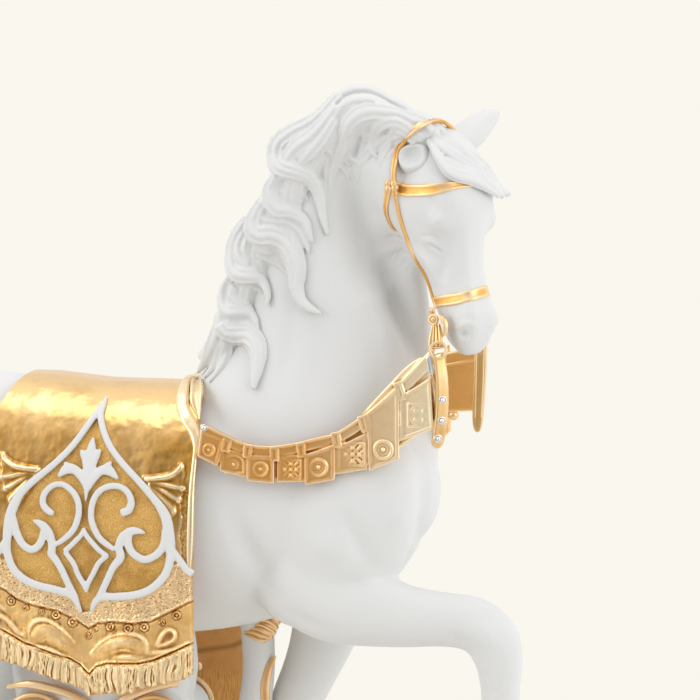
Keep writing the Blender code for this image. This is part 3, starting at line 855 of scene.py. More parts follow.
ARABESQUE = [
    OGEE_FRONT,
    OGEE_REAR,
    # bands that run off to both edges
    [(22.5, 227, 1.6), (28.6, 218.7, 2.15), (33, 213.2, 2.2), (36.4, 210.6, 2.2)],
    [(-69.5, 229, 1.6), (-75, 220, 2.15), (-81, 213.5, 2.2), (-89, 206, 2.1)],
    # palmette: upright petal, side petals with their lobes, stem
    [(-24.3, 257, 1.5), (-23.9, 262, 2.7), (-23.2, 267.5, 3.8), (-22.8, 272.5, 5.3), (-22.3, 275.6, 5.7),
     (-22, 277.6, 3.0), (-21.8, 280.4, 2.2), (-21.3, 284.4, 0.6)],
    [(-23.6, 270, 2.4), (-26.4, 274.6, 2.2), (-28.2, 277.4, 0.7)],
    [(-22.6, 270, 2.4), (-19, 275, 2.2), (-16.8, 278, 0.7)],
    [(-24.2, 256, 2.0), (-26.8, 261.5, 2.6), (-31, 266, 2.8), (-36, 266.6, 3.2), (-41, 262.2, 0.8)],
    [(-31.5, 265.5, 2.0), (-35.2, 268.6, 1.7), (-37.8, 270.2, 0.6)],
    [(-24.2, 256, 2.0), (-21, 261.5, 2.6), (-16.6, 266, 2.8), (-11.8, 266.4, 3.2), (-6.6, 261.8, 0.8)],
    [(-16, 265.5, 2.0), (-12.4, 269.4, 1.7), (-10.2, 271.2, 0.6)],
    [(-24.1, 262, 2.6), (-24.4, 257, 1.9), (-24.9, 253, 1.2), (-25.3, 248.5, 0.4)],
    # C-scrolls
    [(-42.4, 224.4, 1.3), (-38, 227, 1.7), (-31.7, 233.4, 1.9), (-29, 243.3, 1.95), (-31.4, 252.2, 1.9),
     (-38, 257.7, 1.8), (-44.4, 256.9, 1.8), (-49.3, 251.9, 1.9), (-49.9, 246.4, 2.0), (-46.4, 242.6, 2.1),
     (-43.8, 241.4, 1.5)],
    [(-8.2, 222.6, 1.4), (-12, 225, 1.7), (-17.4, 229.4, 1.9), (-21.7, 238.5, 1.9), (-21.2, 248.3, 1.9),
     (-16.4, 255.3, 1.9), (-8.6, 257.9, 1.9), (-2, 255.6, 1.9), (0.9, 250, 2.1), (-0.3, 244.8, 2.5),
     (-4.6, 242.8, 2.4)],
    # diamond
    [(-26, 234.2, 0.7), (-27.6, 230, 1.4), (-30.3, 227.1, 1.6), (-34, 223.4, 1.6), (-36.9, 220.9, 1.5),
     (-36.5, 220.2, 1.5), (-31.7, 214, 1.6), (-29.4, 208.4, 1.6), (-25.6, 202.1, 1.5), (-24.4, 198.2, 0.7)],
    [(-26, 234.2, 0.7), (-24.4, 230, 1.4), (-21.6, 226.6, 1.6), (-17, 222, 1.6), (-12.8, 219.2, 1.5),
     (-13.2, 218.4, 1.5), (-17.3, 214.8, 1.6), (-20.2, 209.3, 1.6), (-23.2, 203.6, 1.5), (-24.4, 198.2, 0.7)],
    # flourishes beside the diamond
    [(-55.5, 237.2, 0.6), (-52.5, 236.2, 1.8), (-49, 234, 2.6), (-45.6, 229.6, 2.5), (-44.2, 222.6, 2.3),
     (-44.6, 219.2, 2.5), (-41.7, 215.4, 2.2), (-38.1, 209.6, 2.1), (-35.2, 203.4, 2.1), (-31.2, 196, 2.0),
     (-29.6, 191.5, 1.6)],
    [(9.4, 232.2, 0.6), (5.6, 233.2, 1.8), (1.2, 233, 2.6), (-3.8, 229.6, 2.5), (-5.7, 224.2, 2.3),
     (-4.6, 218.6, 2.6), (-9, 212.6, 2.2), (-12, 206.2, 2.1), (-16.2, 197.5, 2.0), (-18.6, 194, 1.6)],
    # hooks that rise into the ogee
    [(-49.3, 232.5, 1.6), (-50.5, 226, 2.3), (-53.4, 222.2, 2.3), (-56.8, 221.2, 2.3), (-61.4, 224, 2.3),
     (-65, 230.2, 2.4), (-67, 239.1, 1.8)],
    [(0.3, 231.5, 1.8), (-0.3, 226, 2.4), (2.6, 220.8, 2.3), (9.1, 217.6, 2.3), (15.8, 220.5, 2.3),
     (20, 226.2, 2.4), (20.6, 234.5, 1.8)],
]

# Gilded relief, as height, half width, then x, z
FAN_RIBS = [
    (1.3, 1.5, (9, 262), (15, 262.4), (22, 263.6), (27, 266.5), (29.5, 270)),
    (1.0, 1.2, (12, 259.5), (19, 259.5), (25, 258.2), (30.5, 257.5)),
    (0.9, 1.1, (13, 258.5), (19, 256), (24, 253), (28.5, 250.8)),
    (0.8, 1.1, (12, 258.5), (17, 253.5), (21.5, 249), (25.5, 244.5)),
    (0.8, 1.0, (11, 258.5), (15, 252), (18.5, 246.5), (21.5, 241.5)),
]
# The leaf itself, under its ribs
FAN_BODY = [
    (8, 264), (16, 265), (24, 267), (30, 272), (31.5, 265), (30, 261.5), (32, 257.5), (29.5, 254.5),
    (29.5, 250), (26, 248.5), (26.5, 243.5), (22.5, 240), (17, 247), (12, 254),
]
LEAF_RIDGES = [
    # rear leaf: its body, then its ribs from the outside in
    (1.0, 4.2, (-54, 172), (-48, 176), (-41, 173), (-34, 167.5), (-29, 163)),
    (0.9, 1.0, (-56.5, 170), (-57.6, 176.5), (-54, 181), (-47.5, 181.8), (-40.6, 178.2), (-34, 172.4),
     (-27.4, 164.1)),
    (0.8, 0.9, (-54.5, 173), (-51, 178), (-45.5, 178.8), (-39, 175.2), (-33, 169.8), (-27.6, 163)),
    (0.8, 0.9, (-52.6, 171.4), (-48.4, 175.2), (-43, 174.6), (-37, 170.6), (-31, 165.4)),
    (0.7, 0.9, (-50, 170), (-45.6, 172), (-40, 169.6), (-34.6, 165.6)),
    (0.6, 1.2, (-60, 166), (-52, 166.6), (-44, 165), (-36, 161)),
    # front leaf
    (1.0, 3.8, (-17, 166), (-9, 170.4), (-1, 171.8), (6, 169.4)),
    (0.9, 1.0, (-22, 163.6), (-16.8, 169.6), (-9.8, 174.2), (-1.4, 176), (5.6, 175.2), (9.6, 172),
     (10.6, 166.4)),
    (0.8, 0.9, (-20.6, 163.8), (-14, 168.8), (-7, 172), (0, 173.2), (5.4, 172.2), (8.4, 168.6)),
    (0.8, 0.9, (-18, 164), (-11, 167.6), (-4, 169.8), (2, 170), (6.4, 167.6)),
    (0.6, 0.9, (-13, 164.2), (-6, 166.6), (0, 166.8), (5, 165.2)),
    (0.6, 1.2, (-8, 162), (-1, 163), (8, 163)),
    # drop and the curls at both edges
    (1.0, 0.9, (16.6, 170.5), (18.8, 175.5), (22.8, 178.9), (25.8, 177.6), (25.6, 173.9), (21.6, 171.1),
     (17.1, 169.9)),
    (0.9, 1.2, (-84, 176), (-77, 183), (-71, 181), (-64, 174.5), (-60, 173)),
    (0.9, 0.9, (-88, 186), (-80, 190), (-72, 187)),
    (0.6, 1.0, (12, 166), (20, 166.6), (28, 169)),
]
# The pattern is drawn a little large, then set on the cloth
PATTERN_SCALE = 0.98
PATTERN_SHIFT = (2.5, 6.7)
# How the ridge of the cloth rises and falls along the back: x, z
SAG = [(-90, 1.2), (-57, 1.2), (-25, -2.0), (0, -2.3), (38, -2.5)]
MEDALLION_AXIS = -22.0
# How much lower the far side hangs
FAR_DROP = 42.0


def to_cloth(x, z):
    """Where a drawn point lies on the cloth."""
    x, z = x * PATTERN_SCALE + PATTERN_SHIFT[0], z * PATTERN_SCALE + PATTERN_SHIFT[1]
    rise = np.clip((z - 250) / 55, 0, 1)
    return x - 2.9 * rise, z - 2.0 * rise


def to_drawing(x, z):
    """The drawn point that lies at a place on the cloth."""
    rise = np.clip((z - 249.5) / 53.5, 0, 1)
    x, z = x + 2.9 * rise - PATTERN_SHIFT[0], z + 2.0 * rise - PATTERN_SHIFT[1]
    return x / PATTERN_SCALE, z / PATTERN_SCALE


def fringe_end(x):
    return line_at(FRINGE_END, (x - PATTERN_SHIFT[0]) / PATTERN_SCALE) * PATTERN_SCALE + PATTERN_SHIFT[1]


def ridge_sag(x, z):
    return line_at(SAG, x) * np.clip((z - 285) / 25, 0, 1)


def waviness(x, z):
    """How the cloth swings in and out along its lower half."""
    return 1.2 * np.sin(x * 0.11 + 0.6) * np.clip((230 - z) / 80, 0, 1)


def hanging(u, v, drop, ragged=0.0):
    """Points of the near half, u from rear to front and v from the ridge to the fringe, and their facing."""
    curve = smooth_rows(DRAPE, 24)
    out, height = curve[:, 0], curve[:, 1]
    run = distances(curve)
    x = CLOTH_BACK + u * (CLOTH_FRONT - CLOTH_BACK)
    length = np.interp(drop - fringe_end(x) - ragged, -height, run)
    y, z = np.interp(v * length, run, out), np.interp(v * length, run, height)
    ahead_y = np.interp(v * length + 0.3, run, out) - y
    ahead_z = np.interp(v * length + 0.3, run, height) - z
    ended = v * length > run[-1] - 0.5
    ahead_y[ended], ahead_z[ended] = 0.005, -0.3
    facing = unit(np.column_stack([np.zeros_like(y), ahead_z, -ahead_y])) * (1, 1, -1)
    facing = np.column_stack([np.zeros_like(y), -np.abs(facing[:, 1]), np.abs(facing[:, 2])])
    x = x + 20 * np.maximum(0, 1 - (v / 0.36) ** 2) * (1 - u) - 6 * np.maximum(0, 1 - v / 0.25) * u
    z = z + ridge_sag(x, z)
    return np.column_stack([x, -y, z]), facing, length


def on_cloth(x, z):
    """A point of the near side of the cloth, and the way the cloth faces there, in millimetres."""
    curve = smooth_rows(DRAPE, 24)[::-1]
    out, height = curve[:, 0], curve[:, 1]
    flat = z - ridge_sag(x, z)
    y = np.interp(flat, height, out)
    slope = np.interp(flat + 0.5, height, out) - np.interp(flat - 0.5, height, out)
    facing = unit(np.column_stack([np.zeros_like(y), -np.ones_like(y), -slope]))
    return np.column_stack([x, -y, z]), facing


def inside(x, z, outline):
    """Whether each x, z lies within a closed outline."""
    outline = np.asarray(outline, float)
    within = np.zeros(x.shape, bool)
    for (x0, z0), (x1, z1) in zip(outline, np.roll(outline, -1, axis=0)):
        crosses = (z0 > z) != (z1 > z)
        within ^= crosses & (x < x0 + (z - z0) * (x1 - x0) / (z1 - z0 + 1e-12))
    return within


def chance(a, b, seed):
    """A steady pseudo-random share for each pair of whole numbers."""
    return np.abs(np.sin(a * 127.1 + b * 311.7 + seed * 74.7) * 43758.5453) % 1


def dots(x, z, apart, size, seed):
    """Scattered dots: 1 in the middle of a dot and 0 between them."""
    cell_x, cell_z = np.floor(x / apart), np.floor(z / apart)
    found = np.zeros(len(x))
    for dx in (-1, 0, 1):
        for dz in (-1, 0, 1):
            ax, az = cell_x + dx, cell_z + dz
            away_x = x - (ax + 0.15 + 0.7 * chance(ax, az, seed)) * apart
            away_z = z - (az + 0.15 + 0.7 * chance(ax, az, seed + 1)) * apart
            strong = 0.4 + 0.6 * chance(ax, az, seed + 2)
            found = np.maximum(found, strong * np.exp(-((away_x / 1.5) ** 2 + away_z**2) / size**2))
    return found


def ridge_height(x, z, ridges):
    """The height of rounded ridges drawn on the cloth."""
    total = np.zeros(len(x))
    points = np.column_stack([x, z])
    for height, half_width, *route in ridges:
        route = smooth_rows(route, 4)
        reach = 3 * half_width + 1
        near = close_by(points, route, reach)
        away, share = nearest_on_route(points[near], route)
        fade = np.sin(np.pi * np.clip(share, 0.08, 0.92)) ** 0.5
        total[near] = np.maximum(total[near], height * fade * np.exp(-((away / half_width) ** 2)))
    return total


def medallion_outline():
    front = smooth_rows([row[:2] for row in OGEE_FRONT], 3)
    rear = smooth_rows([row[:2] for row in OGEE_REAR], 3)
    return np.vstack([front, rear[::-1]])


def mirrored(route):
    """The same points on the other side of the medallion, whose rear half is drawn a little higher."""
    return [(2 * MEDALLION_AXIS - x, z + 3.5) for x, z in route]


def cloth_relief(x, z, shape):
    """Height of the gilded relief, how stippled, punched and matt the gold is, and where the fringe is."""
    x, z = to_drawing(x, z)
    medallion = inside(x, z, medallion_outline())
    foot, hem = line_at(BAND_FOOT, x), line_at(HEM, x)
    low = z < 203 + 0.25 * np.abs(x + 24)
    corners = (z < 214) & ((x > 27) | (x < -74))
    punched = ~medallion & (z > foot) & (low | corners)
    band = (z <= foot) & (z > hem)
    fringe = z <= hem

    height = np.where(medallion, -0.5, 0.0)
    # a sunk, dotted strip beside the front border; lying low, it is painted brown as shade by the gold
    sunk_strip = ~medallion & (np.abs(x - 31.6 - 0.8 * np.sin(z * 0.4)) < 2.4) & (z > 215) & (z < 256)
    height -= np.where(sunk_strip, 0.5 + 0.5 * dots(x, z, 2.0, 0.7, 17), 0)
    height += np.where(punched, 0.5 - 0.75 * dots(x, z, 1.35, 0.36, 5), 0)
    for body, ribs in (
        (FAN_BODY, FAN_RIBS),
        (mirrored(FAN_BODY), [(rise, half, *mirrored(route)) for rise, half, *route in FAN_RIBS]),
    ):
        height += 0.8 * softened(inside(x, z, body).astype(float).reshape(shape), 1).ravel()
        height += 1.2 * ridge_height(x, z, ribs)
    height += np.where(band, 1.8 * ridge_height(x, z, LEAF_RIDGES) - 0.35 + 0.12 * dots(x, z, 2.2, 0.8, 9), 0)
    height += 0.5 * np.exp(-(((z - foot) / 0.6) ** 2)) - 0.5 * np.exp(-(((z - foot + 1.3) / 0.5) ** 2))
    for sx, sz, size in STUDS:
        near = (np.abs(x - sx) < 4) & (np.abs(z - sz) < 4)
        away = np.hypot(x[near] - sx, z[near] - sz) / size
        ring = np.exp(-(((away - 1.75) / 0.42) ** 2)) + 1.1 * np.exp(-((away / 0.6) ** 2))
        ring = ring - 0.6 * np.exp(-(((away - 1.05) / 0.3) ** 2))
        height[near] += 1.2 * ring - 0.5 * np.exp(-(((away - 2.5) / 0.4) ** 2))
    height += 0.8 * np.exp(-(((z - hem - 2.7) / 0.6) ** 2)) - 0.7 * np.exp(-(((z - hem - 1.7) / 0.4) ** 2))
    height += 0.8 * np.exp(-(((z - hem - 0.6) / 0.7) ** 2))

    # the fringe is combed into tassels, deeper in some than in others
    tassel = x + 0.8 * np.sin(z * 0.3) + 1.6 * np.sin(x * 0.37)
    comb = np.maximum(0, np.sin(tassel * 2.75 + 0.7 * np.sin(x * 1.3))) ** 1.5
    deep = 0.35 + 0.65 * np.clip(0.5 + 0.9 * np.sin(x * 0.53 + 1.1) + 0.6 * np.sin(x * 0.21 + z * 0.16), 0, 1)
    below = np.clip((hem - z) / 2.0, 0, 1) * np.clip((z - line_at(FRINGE_END, x)) / 2.5, 0, 1)
    height += np.where(fringe, 0.55 - 0.85 * comb * deep * below + 0.5 * np.sin(x * 0.72) ** 2, 0)
    zones = np.column_stack([medallion, punched, band, np.full(len(x), 0.5)]).astype(float)
    return height, zones, fringe.astype(float)


def softened(grid, reach):
    """A box blur of a grid of heights."""
    for axis in (0, 1):
        first = np.repeat(np.take(grid, [0], axis), reach + 1, axis)
        last = np.repeat(np.take(grid, [-1], axis), reach, axis)
        padded = np.concatenate([first, grid, last], axis)
        total = np.cumsum(padded, axis)
        count = grid.shape[axis]
        upper = np.take(total, np.arange(2 * reach + 1, 2 * reach + 1 + count), axis)
        grid = (upper - np.take(total, np.arange(count), axis)) / (2 * reach + 1)
    return grid


def make_cloth_side(name, side, step, drop):
    """One side of the cloth from the ridge of the back to the fringe: a relief face and a lining."""
    columns, rows = int((CLOTH_FRONT - CLOTH_BACK) / step), int((190 + drop) / step)
    sheets = []
    for part, across, down in (("face", columns, rows), ("lining", 48, 64)):
        bpy.ops.mesh.primitive_grid_add(x_subdivisions=across, y_subdivisions=down, size=1)
        sheet = named(name)
        start = points_of(sheet)
        u, v = start[:, 0] + 0.5, 0.5 - start[:, 1]
        sheets.append(sheet)
        zones, fringe = np.tile([0.0, 0.0, 1.0, 0.5], (len(u), 1)), np.zeros(len(u))
        if part == "face":
            rng = np.random.default_rng(3)
            tufts = np.linspace(0, 1, 110)
            ragged = np.interp(u, tufts, rng.uniform(-1.3, 0.8, 110)) + 1.2 * np.sin(u * 64) ** 2
            placed, facing, length = hanging(u, v, drop, ragged)
            pattern_z = placed[:, 2] + drop * np.clip((250 - placed[:, 2]) / 100, 0, 1)
            lift, zones, fringe = cloth_relief(placed[:, 0], pattern_z, (down + 1, across + 1))
            grid = lift.reshape(down + 1, across + 1)
            reach = max(1, int(round(1.6 / step)))
            # the fourth channel is how far the relief stands above its blur, which the gold reads as painted
            # shade and highlight
            zones[:, 3] = np.clip(0.5 + (grid - softened(softened(grid, reach), reach)).ravel() / 1.1, 0, 1)
            width = CLOTH_FRONT - CLOTH_BACK
            to_edge = np.minimum(np.minimum(u * width, (1 - u) * width), (1 - v) * length)
            lift = lift - np.clip(1 - to_edge / 1.2, 0, 1) ** 2 * CLOTH_THICKNESS
        else:
            placed, facing, length = hanging(u, v, drop)
            lift = 0.2 - CLOTH_THICKNESS
            zones[:, 0] = 1
            zones[:, 3] = np.where(np.abs((1 - v) * length - 40) < 1.5, 0.2, 0.5)
        placed = placed + facing * (lift + waviness(placed[:, 0], placed[:, 2]))[:, None]
        placed[:, 1] *= -side
        move_points(sheet, spot(placed))
        colours = sheet.data.color_attributes.new("zone", "FLOAT_COLOR", "POINT")
        colours.data.foreach_set("color", zones.ravel())
        combed = sheet.data.attributes.new("fringe", "FLOAT", "POINT")
        combed.data.foreach_set("value", fringe)
        middle = sheet.data.polygons[len(sheet.data.polygons) // 2]
        if middle.normal.y * side * (1 if part == "face" else -1) < 0:
            edit_whole(sheet, bpy.ops.mesh.flip_normals)
    only(sheets[0])
    sheets[1].select_set(True)
    bpy.ops.object.join()
    return sheets[0]


def ribbon(name, rows):
    """A raised band on the near side of the cloth, from drawn rows of x, z, half width."""
    rows = smooth_rows(rows, 4)
    x, z = to_cloth(rows[:, 0], rows[:, 1])
    points, facing = on_cloth(x, z)
    points = points + facing * (0.7 + waviness(x, z))[:, None]
    sections = np.column_stack([points, rows[:, 2] * 0.94, np.minimum(1.35, rows[:, 2] * 0.8 + 0.3)])
    return loft(name, sections, side=facing, segments=12, steps=1, square=0.7)


def make_arabesques():
    """White bands raised on the gold, on the near side and again on the far side."""
    near = joined("cloth_arabesque_near", [ribbon(f"band {i}", rows) for i, rows in enumerate(ARABESQUE)])
    one_skin(near, 0.6, 2)
    far = copy_of(near)
    far.name = "cloth_arabesque_far"
    apply_modifier(far, "DECIMATE", ratio=0.3)
    move_points(far, points_of(far) * (1, -1, 1))
    face_outwards(far)
    return near, far


# The rolled front edge of the cloth, from the ridge of the back down to the hem: x, y, z, half width
LAPEL = [
    (24.6, 0, 313.6, 2.4),
    (23.6, -10.1, 313.9, 2.4),
    (24.0, -20.3, 311.0, 2.9),
    (25.4, -29.6, 306.5, 3.5),
    (26.7, -35.0, 301.6, 3.7),
    (29.9, -40.1, 296.7, 3.7),
    (33.3, -42.6, 292.2, 3.8),
    (36.0, -45.0, 287.6, 2.9),
    (37.4, -48.0, 282.0, 1.7),
    (37.6, -50.0, 276.3, 1.4),
    (36.9, -54.8, 257.3, 1.7),
    (36.8, -57.8, 236, 2.0),
    (36.5, -58.5, 222, 1.6),
    (36.2, -58.3, 215, 0.8),
]
# The bright strip inside it
INNER_STRIP = [
    (30.0, -14.6, 313.2, 3.4),
    (30.1, -17.7, 312.4, 3.5),
    (32.4, -26.6, 308.9, 3.8),
    (33.5, -32.7, 304.2, 3.4),
    (36.0, -38.0, 299.2, 1.9),
    (37.6, -41.5, 295.0, 0.6),
]


def far_rows(rows):
    """The same rows on the far side."""
    return [(x, -y, z, size) for x, y, z, size in rows]


def make_cloth_borders():
    forms = []
    lapel = LAPEL[:0:-1] + far_rows(LAPEL)
    strips = (("lapel", lapel), ("inner strip", INNER_STRIP), ("far inner strip", far_rows(INNER_STRIP)))
    for name, rows in strips:
        centres = np.array([row[:3] for row in rows], float)
        facing = unit(centres - (30, 0, 235)) * (0, 1, 1)
        sections = [(*row[:3], row[3], min(2.1, 0.8 + 0.45 * row[3])) for row in rows]
        channel = 0.0 if name == "lapel" else 0.6
        forms.append(loft(name, sections, side=facing, segments=24, steps=5, square=0.8, channel=channel))
    return joined("cloth_borders", forms)


# Rein, bridle and bit ---------------------------------------------------------------------------

REIN_VOXEL = 0.45
# How far out the rein hangs along its length: x, y
REIN_HANG = [(30, -52), (46, -52), (75, -50), (105, -47.5), (130, -45.5), (155, -45), (172, -46)]
# The path of the far rein round the neck, from the bit to the cloth: x, y
FAR_PATH = [
    (170, -13), (161, -3), (151, 8), (141, 20), (128, 32), (105, 43.5), (75, 48.5), (46, 51), (30, 51),
]
# The flat strap along the top of the rein: x, z
REIN_STRAP = [
    (41.5, 290.6), (46, 289.6), (55.4, 285.0), (67.1, 280.6), (79.5, 279.5), (94.2, 281.7), (105.7, 284.7),
    (112, 286.1), (117.4, 288.4), (128.3, 295.6), (137.3, 302.9), (147.2, 311.6), (156.3, 321.0),
    (164.5, 329.4), (168, 333),
]
# Hanging plates: corners from the top at the rear, round by the front, how proud they stand, the motif, its
# middle as x, z and its half size
PLATES = [
    ([(41.6, 290.8), (55.2, 286.4), (50.8, 271), (39.6, 276.2)], 1.0, "ring", (46.2, 280), 3.3),
    ([(52.8, 281.6), (67.2, 277.4), (65.9, 265.3), (51.8, 268.6)], 0.6, "arch", (59.7, 272), 5.2),
    ([(66.9, 277.4), (81.8, 277.2), (81.8, 262.2), (66.6, 263.4)], 1.1, "ring", (74.4, 270.1), 4.1),
    ([(83.2, 277.4), (97.6, 278), (97.6, 263.5), (83.1, 262.9)], 0.6, "lattice", (90.7, 270.2), 5.0),
    ([(98.2, 278.4), (114.5, 284), (114.5, 264.8), (98.2, 261.6)], 1.2, "ring", (105.8, 271.6), 5.0),
    ([(115.3, 282.6), (131.6, 290.8), (131.9, 270.8), (115.3, 267.8)], 0.8, "lattice", (124.1, 278.9), 5.9),
    ([(131.6, 300.9), (149, 315.2), (149.2, 276.9), (132.8, 269.9)], 1.3, "ring", (140.7, 281.7), 5.4),
    ([(149.4, 310.4), (166.1, 320.9), (168.3, 293.6), (149.8, 286.4)], 1.0, "quatrefoil", (160.2, 300.6),
     6.0),
]
# The short loops that fold over the strap between the plates: x, z, lean in degrees and half height
LOOPS = [
    (55.8, 282.6, -14, 3.6), (67.3, 279.6, -6, 3.6), (81.9, 278.3, 2, 3.8), (96.3, 280.6, 6, 3.8),
    (115.4, 286.6, 10, 4.2), (129.8, 295.4, 16, 4.6), (149.6, 313.4, 20, 5.0),
]


def hang(x):
    """How far out the rein is at x."""
    return line_at(REIN_HANG, x)


def plate(name, corners, stand, thick, rim=1.1, sink=0.3, out=hang):
    """A thin plate on the rein with four corners, a bevelled edge and a sunk face."""
    bpy.ops.object.select_all(action="DESELECT")
    bpy.ops.mesh.primitive_cube_add(size=2)
    form = named(name)
    placed = np.zeros((8, 3))
    for i, (sx, sy, sz) in enumerate(np.sign(points_of(form)).astype(int)):
        x, z = corners[{(-1, 1): 0, (1, 1): 1, (1, -1): 2, (-1, -1): 3}[(sx, sz)]]
        placed[i] = (x, out(x) - (stand if sy < 0 else stand - thick), z)
    move_points(form, spot(placed))
    edit_whole(form, bpy.ops.mesh.bevel, offset=0.45 * MM, segments=2, affect="EDGES")
    edit_whole(form, bpy.ops.mesh.select_all, action="DESELECT")
    front = max(form.data.polygons, key=lambda face: face.area * (face.normal.y < -0.7))
    front.select = True
    bpy.ops.object.mode_set(mode="EDIT")
    bpy.ops.mesh.inset(thickness=rim * MM, depth=0)
    bpy.ops.mesh.inset(thickness=0.5 * MM, depth=-sink * MM)
    bpy.ops.object.mode_set(mode="OBJECT")
    return form


def torus(name, centre, radius, tube, facing=(0, -1, 0), segments=32):
    turn = Vector(facing).to_track_quat("Z", "Y").to_euler()
    bpy.ops.mesh.primitive_torus_add(
        location=spot(centre), rotation=turn, major_radius=radius * MM, minor_radius=tube * MM,
        major_segments=segments, minor_segments=10,
    )
    return named(name)


def dome(name, centre, radius, rise, facing=(0, -1, 0)):
    """A flattened bead."""
    turn = Vector(facing).to_track_quat("Z", "Y").to_euler()
    bpy.ops.mesh.primitive_uv_sphere_add(
        segments=20, ring_count=12, radius=radius * MM, location=spot(centre), rotation=turn
    )
    form = named(name)
    form.scale = (1, 1, rise / radius)
    bpy.ops.object.transform_apply(location=True, rotation=True, scale=True)
    return form


def bar(name, start, end, half_width, thick):
    """A short straight rib."""
    ends = np.array([start, (np.array(start) + end) / 2, end], float)
    return loft(name, [(*point, half_width, thick) for point in ends], segments=10, steps=1)


def motif(kind, x, z, size, top):
    """The relief in the middle of a plate."""
    forms = []
    if kind == "ring":
        forms.append(torus("ring", (x, top, z), size * 0.86, size * 0.16))
        forms.append(torus("inner ring", (x, top + 0.1, z), size * 0.5, size * 0.11))
        forms.append(dome("boss", (x, top, z), size * 0.2, size * 0.2))
        return forms
    frame = [(-size, size), (size, size), (size, -size), (-size, -size)]
    if kind == "arch":
        angles = np.linspace(0, math.pi, 9)
        frame = [(size * math.cos(a), size * 0.2 + size * 0.85 * math.sin(a)) for a in angles]
        frame += [(-size, -size * 0.8), (size, -size * 0.8)]
        forms.append(torus("loop", (x, top, z + 0.3), size * 0.42, 0.45))
        forms.append(dome("bead", (x, top, z + 0.3), 0.9, 0.9))
    for (ax, az), (bx, bz) in zip(frame, frame[1:] + frame[:1]):
        forms.append(bar("frame", (x + ax, top, z + az), (x + bx, top, z + bz), 0.5, 0.6))
    if kind == "quatrefoil":
        forms.append(torus("disc", (x, top, z), size * 0.84, 0.5))
        for dx, dz in ((0.38, 0.38), (-0.38, 0.38), (0.38, -0.38), (-0.38, -0.38)):
            forms.append(torus("lobe", (x + dx * size, top, z + dz * size), size * 0.33, 0.5, segments=20))
            forms.append(dome("leaf", (x + dx * size, top, z + dz * size), size * 0.2, 0.8))
        return forms
    if kind == "lattice":
        reach = size * 0.86
        for step in (-0.7, 0, 0.7):
            low, high = max(-1, step - 1), min(1, step + 1)
            for way in (1, -1):
                start = (x + reach * low, top, z + way * reach * (low - step))
                end = (x + reach * high, top, z + way * reach * (high - step))
                forms.append(bar("weave", start, end, 0.62, 0.7))
        for dx, dz in ((0, 0), (0.7, 0), (-0.7, 0), (0, 0.7), (0, -0.7)):
            forms.append(dome("bead", (x + dx * reach, top, z + dz * reach), 1.0, 1.1))
    return forms


def make_near_rein():
    """A flat strap with plates hanging from it and loops folded over it, cast as one."""
    strap = [(x, hang(x) + 0.1, z, 2.9 + 0.012 * max(0, x - 110), 1.7) for x, z in REIN_STRAP]
    forms = [loft("strap", strap, segments=24, square=0.45)]
    edge = [(x, hang(x) - 0.2, z + 2.4 + 0.012 * max(0, x - 110), 0.9, 1.9) for x, z in REIN_STRAP]
    forms.append(loft("strap edge", edge, segments=16, square=0.7))
    for i, (corners, stand, kind, (x, z), size) in enumerate(PLATES):
        forms.append(plate(f"plate {i}", corners, stand + 1.0, 2.6))
        forms += motif(kind, x, z, size, float(hang(x)) - stand - 0.55)
    for i, (x, z, lean, half) in enumerate(LOOPS):
        turn = math.radians(lean)
        along = np.array([math.sin(turn), -math.cos(turn)])
        across = np.array([math.cos(turn), math.sin(turn)])
        top, low = np.array([x, z]) - along * half, np.array([x, z]) + along * half
        corners = [top - across * 2.5, top + across * 2.5, low + across * 2.2, low - across * 2.2]
        forms.append(plate(f"loop {i}", corners, 2.3, 1.8, rim=0.7, sink=0.35))
    backing = [
        (x, hang(x) + 0.5, (low + high) / 2, (high - low) / 2, 1.0)
        for x, low, high in (
            (41, 277, 290), (53, 271, 285), (67, 266, 280), (82, 265, 279), (97, 265.5, 281), (114, 268, 285),
            (131, 273, 298), (149, 286, 316), (163, 296, 330), (168.6, 297, 334),
        )
    ]
    forms.append(loft("backing", backing, segments=24, square=0.45))
    rein = joined("rein_near", forms)
    one_skin(rein, REIN_VOXEL, 1)
    return rein


def make_far_rein(near):
    """The same rein, led round the far side of the neck, and the panel that joins it to the bit."""
    rein = copy_of(near)
    rein.name = "rein_far"
    cut = {"plane_co": (0.15, 0, 0), "plane_no": (1, 0, 0)}
    edit_whole(rein, bpy.ops.mesh.bisect, use_fill=True, clear_outer=True, **cut)
    apply_modifier(rein, "DECIMATE", ratio=0.3)
    points = points_of(rein) / MM
    path = smooth_rows(FAR_PATH, 6)
    run = distances(path)
    reach = run[-1] * (150 - points[:, 0]) / 120

    def along_path(at):
        return np.column_stack([np.interp(at, run, way) for way in path.T])

    centre = along_path(reach)
    ahead = along_path(reach + 1) - centre
    outward = unit(np.column_stack([-ahead[:, 1], ahead[:, 0], np.zeros(len(points))]) * (-1, -1, 1))
    depth = hang(points[:, 0]) - points[:, 1]
    rise = 12.0 * np.clip((points[:, 0] - 100) / 50, 0, 1) ** 2
    placed = np.column_stack([centre, points[:, 2] + rise]) + outward * depth[:, None]
    move_points(rein, placed * MM)
    face_outwards(rein)

    def far(x):
        return -16.5 - 0.12 * (x - 170)

    panel = [(168, 331.6), (187, 335), (186, 300.6), (168, 299.2)]
    seam = [(168, 325.4), (186, 329.4), (186, 327.6), (168, 323.8)]
    return joined("rein_far", [
        rein,
        plate("far panel", panel, 1.2, 2.6, rim=1.0, sink=0.12, out=far),
        plate("far seam", seam, 1.5, 1.2, rim=0.3, sink=0.1, out=far),
    ])


